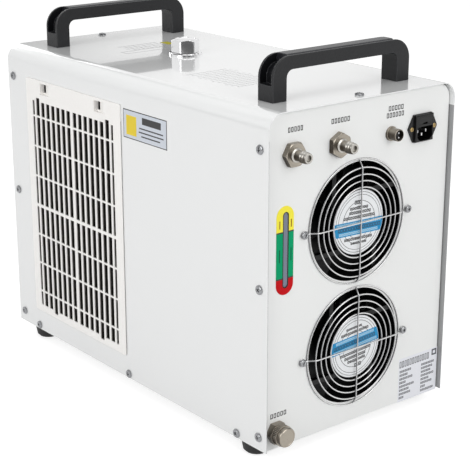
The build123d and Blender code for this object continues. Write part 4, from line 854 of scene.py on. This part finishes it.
# Printed places on the top: rows of faint bars, and one small yellow field by the filler.
topPrint = {
    "film": 0.06,
    # middle as X and Y; every and shift set how rows step aside in turn
    "filler": {"middle": (6.0, -138.0), "rows": 4, "bars": 9, "first": (-30, 34), "pitch": (7.0, 9.5),
               "every": 2, "shift": 4, "size": (4.6, 2.2)},
    "rear": {"middle": (52.0, 82.0), "rows": 12, "bars": 12, "first": (-28, 46), "pitch": (5.2, 8.4),
             "every": 3, "shift": 2, "size": (3.4, 2.6)},
    "box": (-14, -6, 74, 14, 0.9), "yellow": [(38, 20, 12, 20)],
}


def printedRows(p):
    across, height = p["first"]
    wide, tall = p["pitch"]
    return [(i * wide + across + p["shift"] * (k % p["every"]), height - tall * k, *p["size"])
            for k in range(p["rows"]) for i in range(p["bars"])]


def buildTopPrints():
    film = topPrint["film"]
    x, y = topPrint["filler"]["middle"]
    place = topPlace(x * mm, y * mm)
    rows = printedRows(topPrint["filler"]) + openBox(*topPrint["box"])
    laidBars("fillerPrint", place, rows, film, "midInk")
    laidBars("fillerPrintYellow", place, topPrint["yellow"], film, "dullYellowInk")
    x, y = topPrint["rear"]["middle"]
    laidBars("topPrintRows", topPlace(x * mm, y * mm), printedRows(topPrint["rear"]), film, "paleInk")


# Rating place: a pale film with a heading, a mark and two columns of small open boxes, and nothing to read.
ratingPlace = {
    "film": 0.06,
    "ground": (-107.3, 27.0, 67.6, 58.0),                   # middle as X and height, width, depth
    "mark": (-135.4, 50.5, 8.4, 8.0, 1.9),                  # the same and the stroke
    "heading": (-100.5, 48.0, 12, 4.4, 1.3, 8.5, 0.9),      # middle, boxes, pitch, gap, box height, stroke
    # X where each column starts, and the number of boxes in each of its rows
    "columns": ((-75.0, (7, 5, 8, 4, 9, 6, 7, 3)), (-113.0, (8, 7, 6, 8, 5, 7, 3, 8))),
    "first": 38.5, "rowPitch": 5.0, "boxPitch": 2.9, "gap": 0.7, "boxHeight": 2.9, "stroke": 0.75,
}


def buildRatingPlace():
    r = ratingPlace
    x, *shape = r["ground"]
    laidBars("ratingGround", rearPlace(0, hoodBottom), [(-x, *shape)], r["film"], "ratingFilm")
    x, *shape = r["heading"]
    boxes = boxRow(-x, *shape)
    x, *shape = r["mark"]
    boxes += openBox(-x, *shape)
    pitch = r["boxPitch"]
    for start, counts in r["columns"]:
        for row, number in enumerate(counts):
            boxes += boxRow(number * pitch / 2 - start, r["first"] - row * r["rowPitch"], number, pitch,
                            r["gap"], r["boxHeight"], r["stroke"])
    laidBars("ratingRows", rearPlace(0, hoodBottom, r["film"]), boxes, r["film"], "greyInk")


hexPoints = 72      # points round each hexagon, and round the circles that join it


# Ring of points round a hexagon whose corners are cut back to a circle of the given reach.
def hexRing(place, acrossFlats, reach, height, turn):
    points = []
    for i in range(hexPoints):
        a = 360 * i / hexPoints
        fromFlat = (a - turn + 30) % 60 - 30
        r = min(acrossFlats / 2 / cos(radians(fromFlat)), reach)
        points.append(place @ Vector((r * cos(radians(a)), r * sin(radians(a)), height)))
    return points


# Water fittings: a chamfered hexagon and a ridged hose end with its own bore.
waterFitting = {
    "flats": 26.0, "turns": {"inlet_fitting": 30.0, "outlet_fitting": 0.0},
    # height and reach of the hexagon's rings, then radius and height of what is turned
    "crown": ((0, 14.3), (0.5, 15.01), (5.4, 15.01), (6.1, 14.6), (6.6, 14.0), (7.0, 13.1)),
    "washer": ((12.0, 7.0), (11.6, 6.8), (8.2, 6.8)),
    "nozzle": ((8.0, 6.7), (8.0, 8.0), (6.2, 9.0), (6.0, 9.6), (6.0, 15.6), (6.3, 16.2), (6.9, 17.0),
               (6.85, 18.4), (6.15, 20.0), (6.15, 20.4), (6.75, 20.7), (6.65, 21.9), (6.0, 23.3), (6.0, 23.7),
               (6.45, 24.0), (6.3, 25.2), (5.9, 26.5), (5.5, 27.0), (3.9, 27.0), (3.5, 26.6), (3.3, 25.0),
               (3.2, 24.2)),
    "nozzlePoints": 64,
}


def buildWaterFitting(node):
    f = waterFitting
    middle = middleOf(node)
    place = rearPlace(middle.x, middle.z)
    rings = [hexRing(place, f["flats"], reach, height, f["turns"][node]) for height, reach in f["crown"]]
    rings += [circlePoints(place, radius, height, hexPoints) for radius, height in f["washer"]]
    head = addPiece(node + "Head", [skinRings(rings)], "fittingNickel")
    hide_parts(node)
    addPiece(node + "HoseEnd", [turnedPart(f["nozzle"], f["nozzlePoints"], place)], "barbNickel")


# Drain cap: a knurled grip behind a groove, and a plain front with a rounded rim.
drainCap = {
    "start": 8.0, "ridges": 40, "deep": 0.45,
    "ridge": (0, 0.5, 1, 0.5),                          # share of that depth at each point of a ridge
    "profile": (
        # radius, height, and 1 where the knurl is cut
        (12.0, 0, 0), (12.6, 0.6, 0), (12.6, 0.7, 1), (12.6, 7.9, 1), (12.6, 8.0, 0),
        (11.0, 8.4, 0), (11.0, 9.2, 0), (11.8, 9.5, 0), (11.8, 12.5, 0),
        (11.4, 13.5, 0), (10.6, 14.0, 0), (9.6, 14.0, 0), (9.2, 13.7, 0),
    ),
}


def buildDrainCap():
    d = drainCap
    middle = middleOf("drain_cap")
    place = rearPlace(middle.x, middle.z, d["start"])
    around = aroundCircle(d["ridges"] * len(d["ridge"]))
    rings = []
    for radius, height, cut in d["profile"]:
        reach = [radius - cut * d["deep"] * share for share in d["ridge"]] * d["ridges"]
        rings.append([place @ Vector((r * c, r * s, height)) for r, (c, s) in zip(reach, around)])
    piece = addPiece("drainCapKnurled", [skinRings(rings)], "fittingNickel", "drain_cap")
    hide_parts("drain_cap")


# Filler cap: a chromed hexagon, its crown turned off round and its top dished.
fillerCap = {
    "flats": 32.0, "turn": 2.5,
    "crown": ((0, 17.6), (0.5, 18.2), (14.6, 18.2), (15.3, 17.7), (15.9, 17.0), (16.3, 16.0), (16.5, 14.8)),
    "top": ((13.2, 16.5), (12.6, 16.1), (4.0, 15.9)),
}


def buildFillerCap():
    c = fillerCap
    middle = middleOf("filler_cap")
    place = placeOn(Vector((middle.x, middle.y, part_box("filler_cap")[0].z)), (1, 0, 0), (0, 1, 0))
    rings = [hexRing(place, c["flats"], reach, height, c["turn"]) for height, reach in c["crown"]]
    rings += [circlePoints(place, radius, height, hexPoints) for radius, height in c["top"]]
    piece = addPiece("fillerCapCrowned", [skinRings(rings)], "brightChrome", "filler_cap")
    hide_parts("filler_cap")


# Front panel: bars on the display for its unlit digits, and plain signs on the buttons.
frontSigns = {
    "film": 0.08, "digit": (8.0, 13.0, 1.3), "digits": (-14.0, 0.0, 14.0),
    "set": openBox(0, 0, 3.2, 3.2, 0.6), "reset": [(0, 0, 3.2, 0.8)],
    "up": [(0, 1.2, 0.9, 0.9), (0, 0.3, 2.1, 0.9), (0, -0.6, 3.3, 0.9)],
    "down": [(0, -1.2, 0.9, 0.9), (0, -0.3, 2.1, 0.9), (0, 0.6, 3.3, 0.9)],
}


def frontOf(node):
    middle = middleOf(node)
    return placeOn(Vector((middle.x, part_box(node)[0].y, middle.z)), (1, 0, 0), (0, 0, 1))


def digitSegments(across, width, height, stroke):
    bars = [(across, level * (height - stroke) / 2, width - 2 * stroke, stroke) for level in (-1, 0, 1)]
    tall = (height - 3 * stroke) / 2
    for hand in (-1, 1):
        for level in (-1, 1):
            bars.append((across + hand * (width - stroke) / 2, level * (height - stroke) / 4, stroke, tall))
    return bars


def buildFrontSigns():
    s = frontSigns
    segments = []
    for across in s["digits"]:
        segments += digitSegments(across, *s["digit"])
    laidBars("displaySegments", frontOf("display_window"), segments, s["film"], "displaySegment")
    for sign in ("set", "reset", "up", "down"):
        node = "button_" + sign
        laidBars(node + "Sign", frontOf(node), s[sign], s["film"], "whiteInk", node)


placeCamera()
buildSky()
buildLamps()
buildFloor()
print("camera and studio")
dressNodes()
print("materials")
for fan in ("lower", "upper"):
    buildFanGuard(fan)
    buildHubLabel(fan)
print("fan guards and motor labels")
buildGaugePlate()
print("level gauge")
buildHoodScrews()
buildFanScrews()
buildInletScrews()
print("screws")
for node in waterFitting["turns"]:
    buildWaterFitting(node)
buildDrainCap()
buildFillerCap()
print("fittings and caps")
buildWordRows()
buildSticker()
buildTopPrints()
buildRatingPlace()
print("printed places")
buildFrontSigns()
print("front signs")
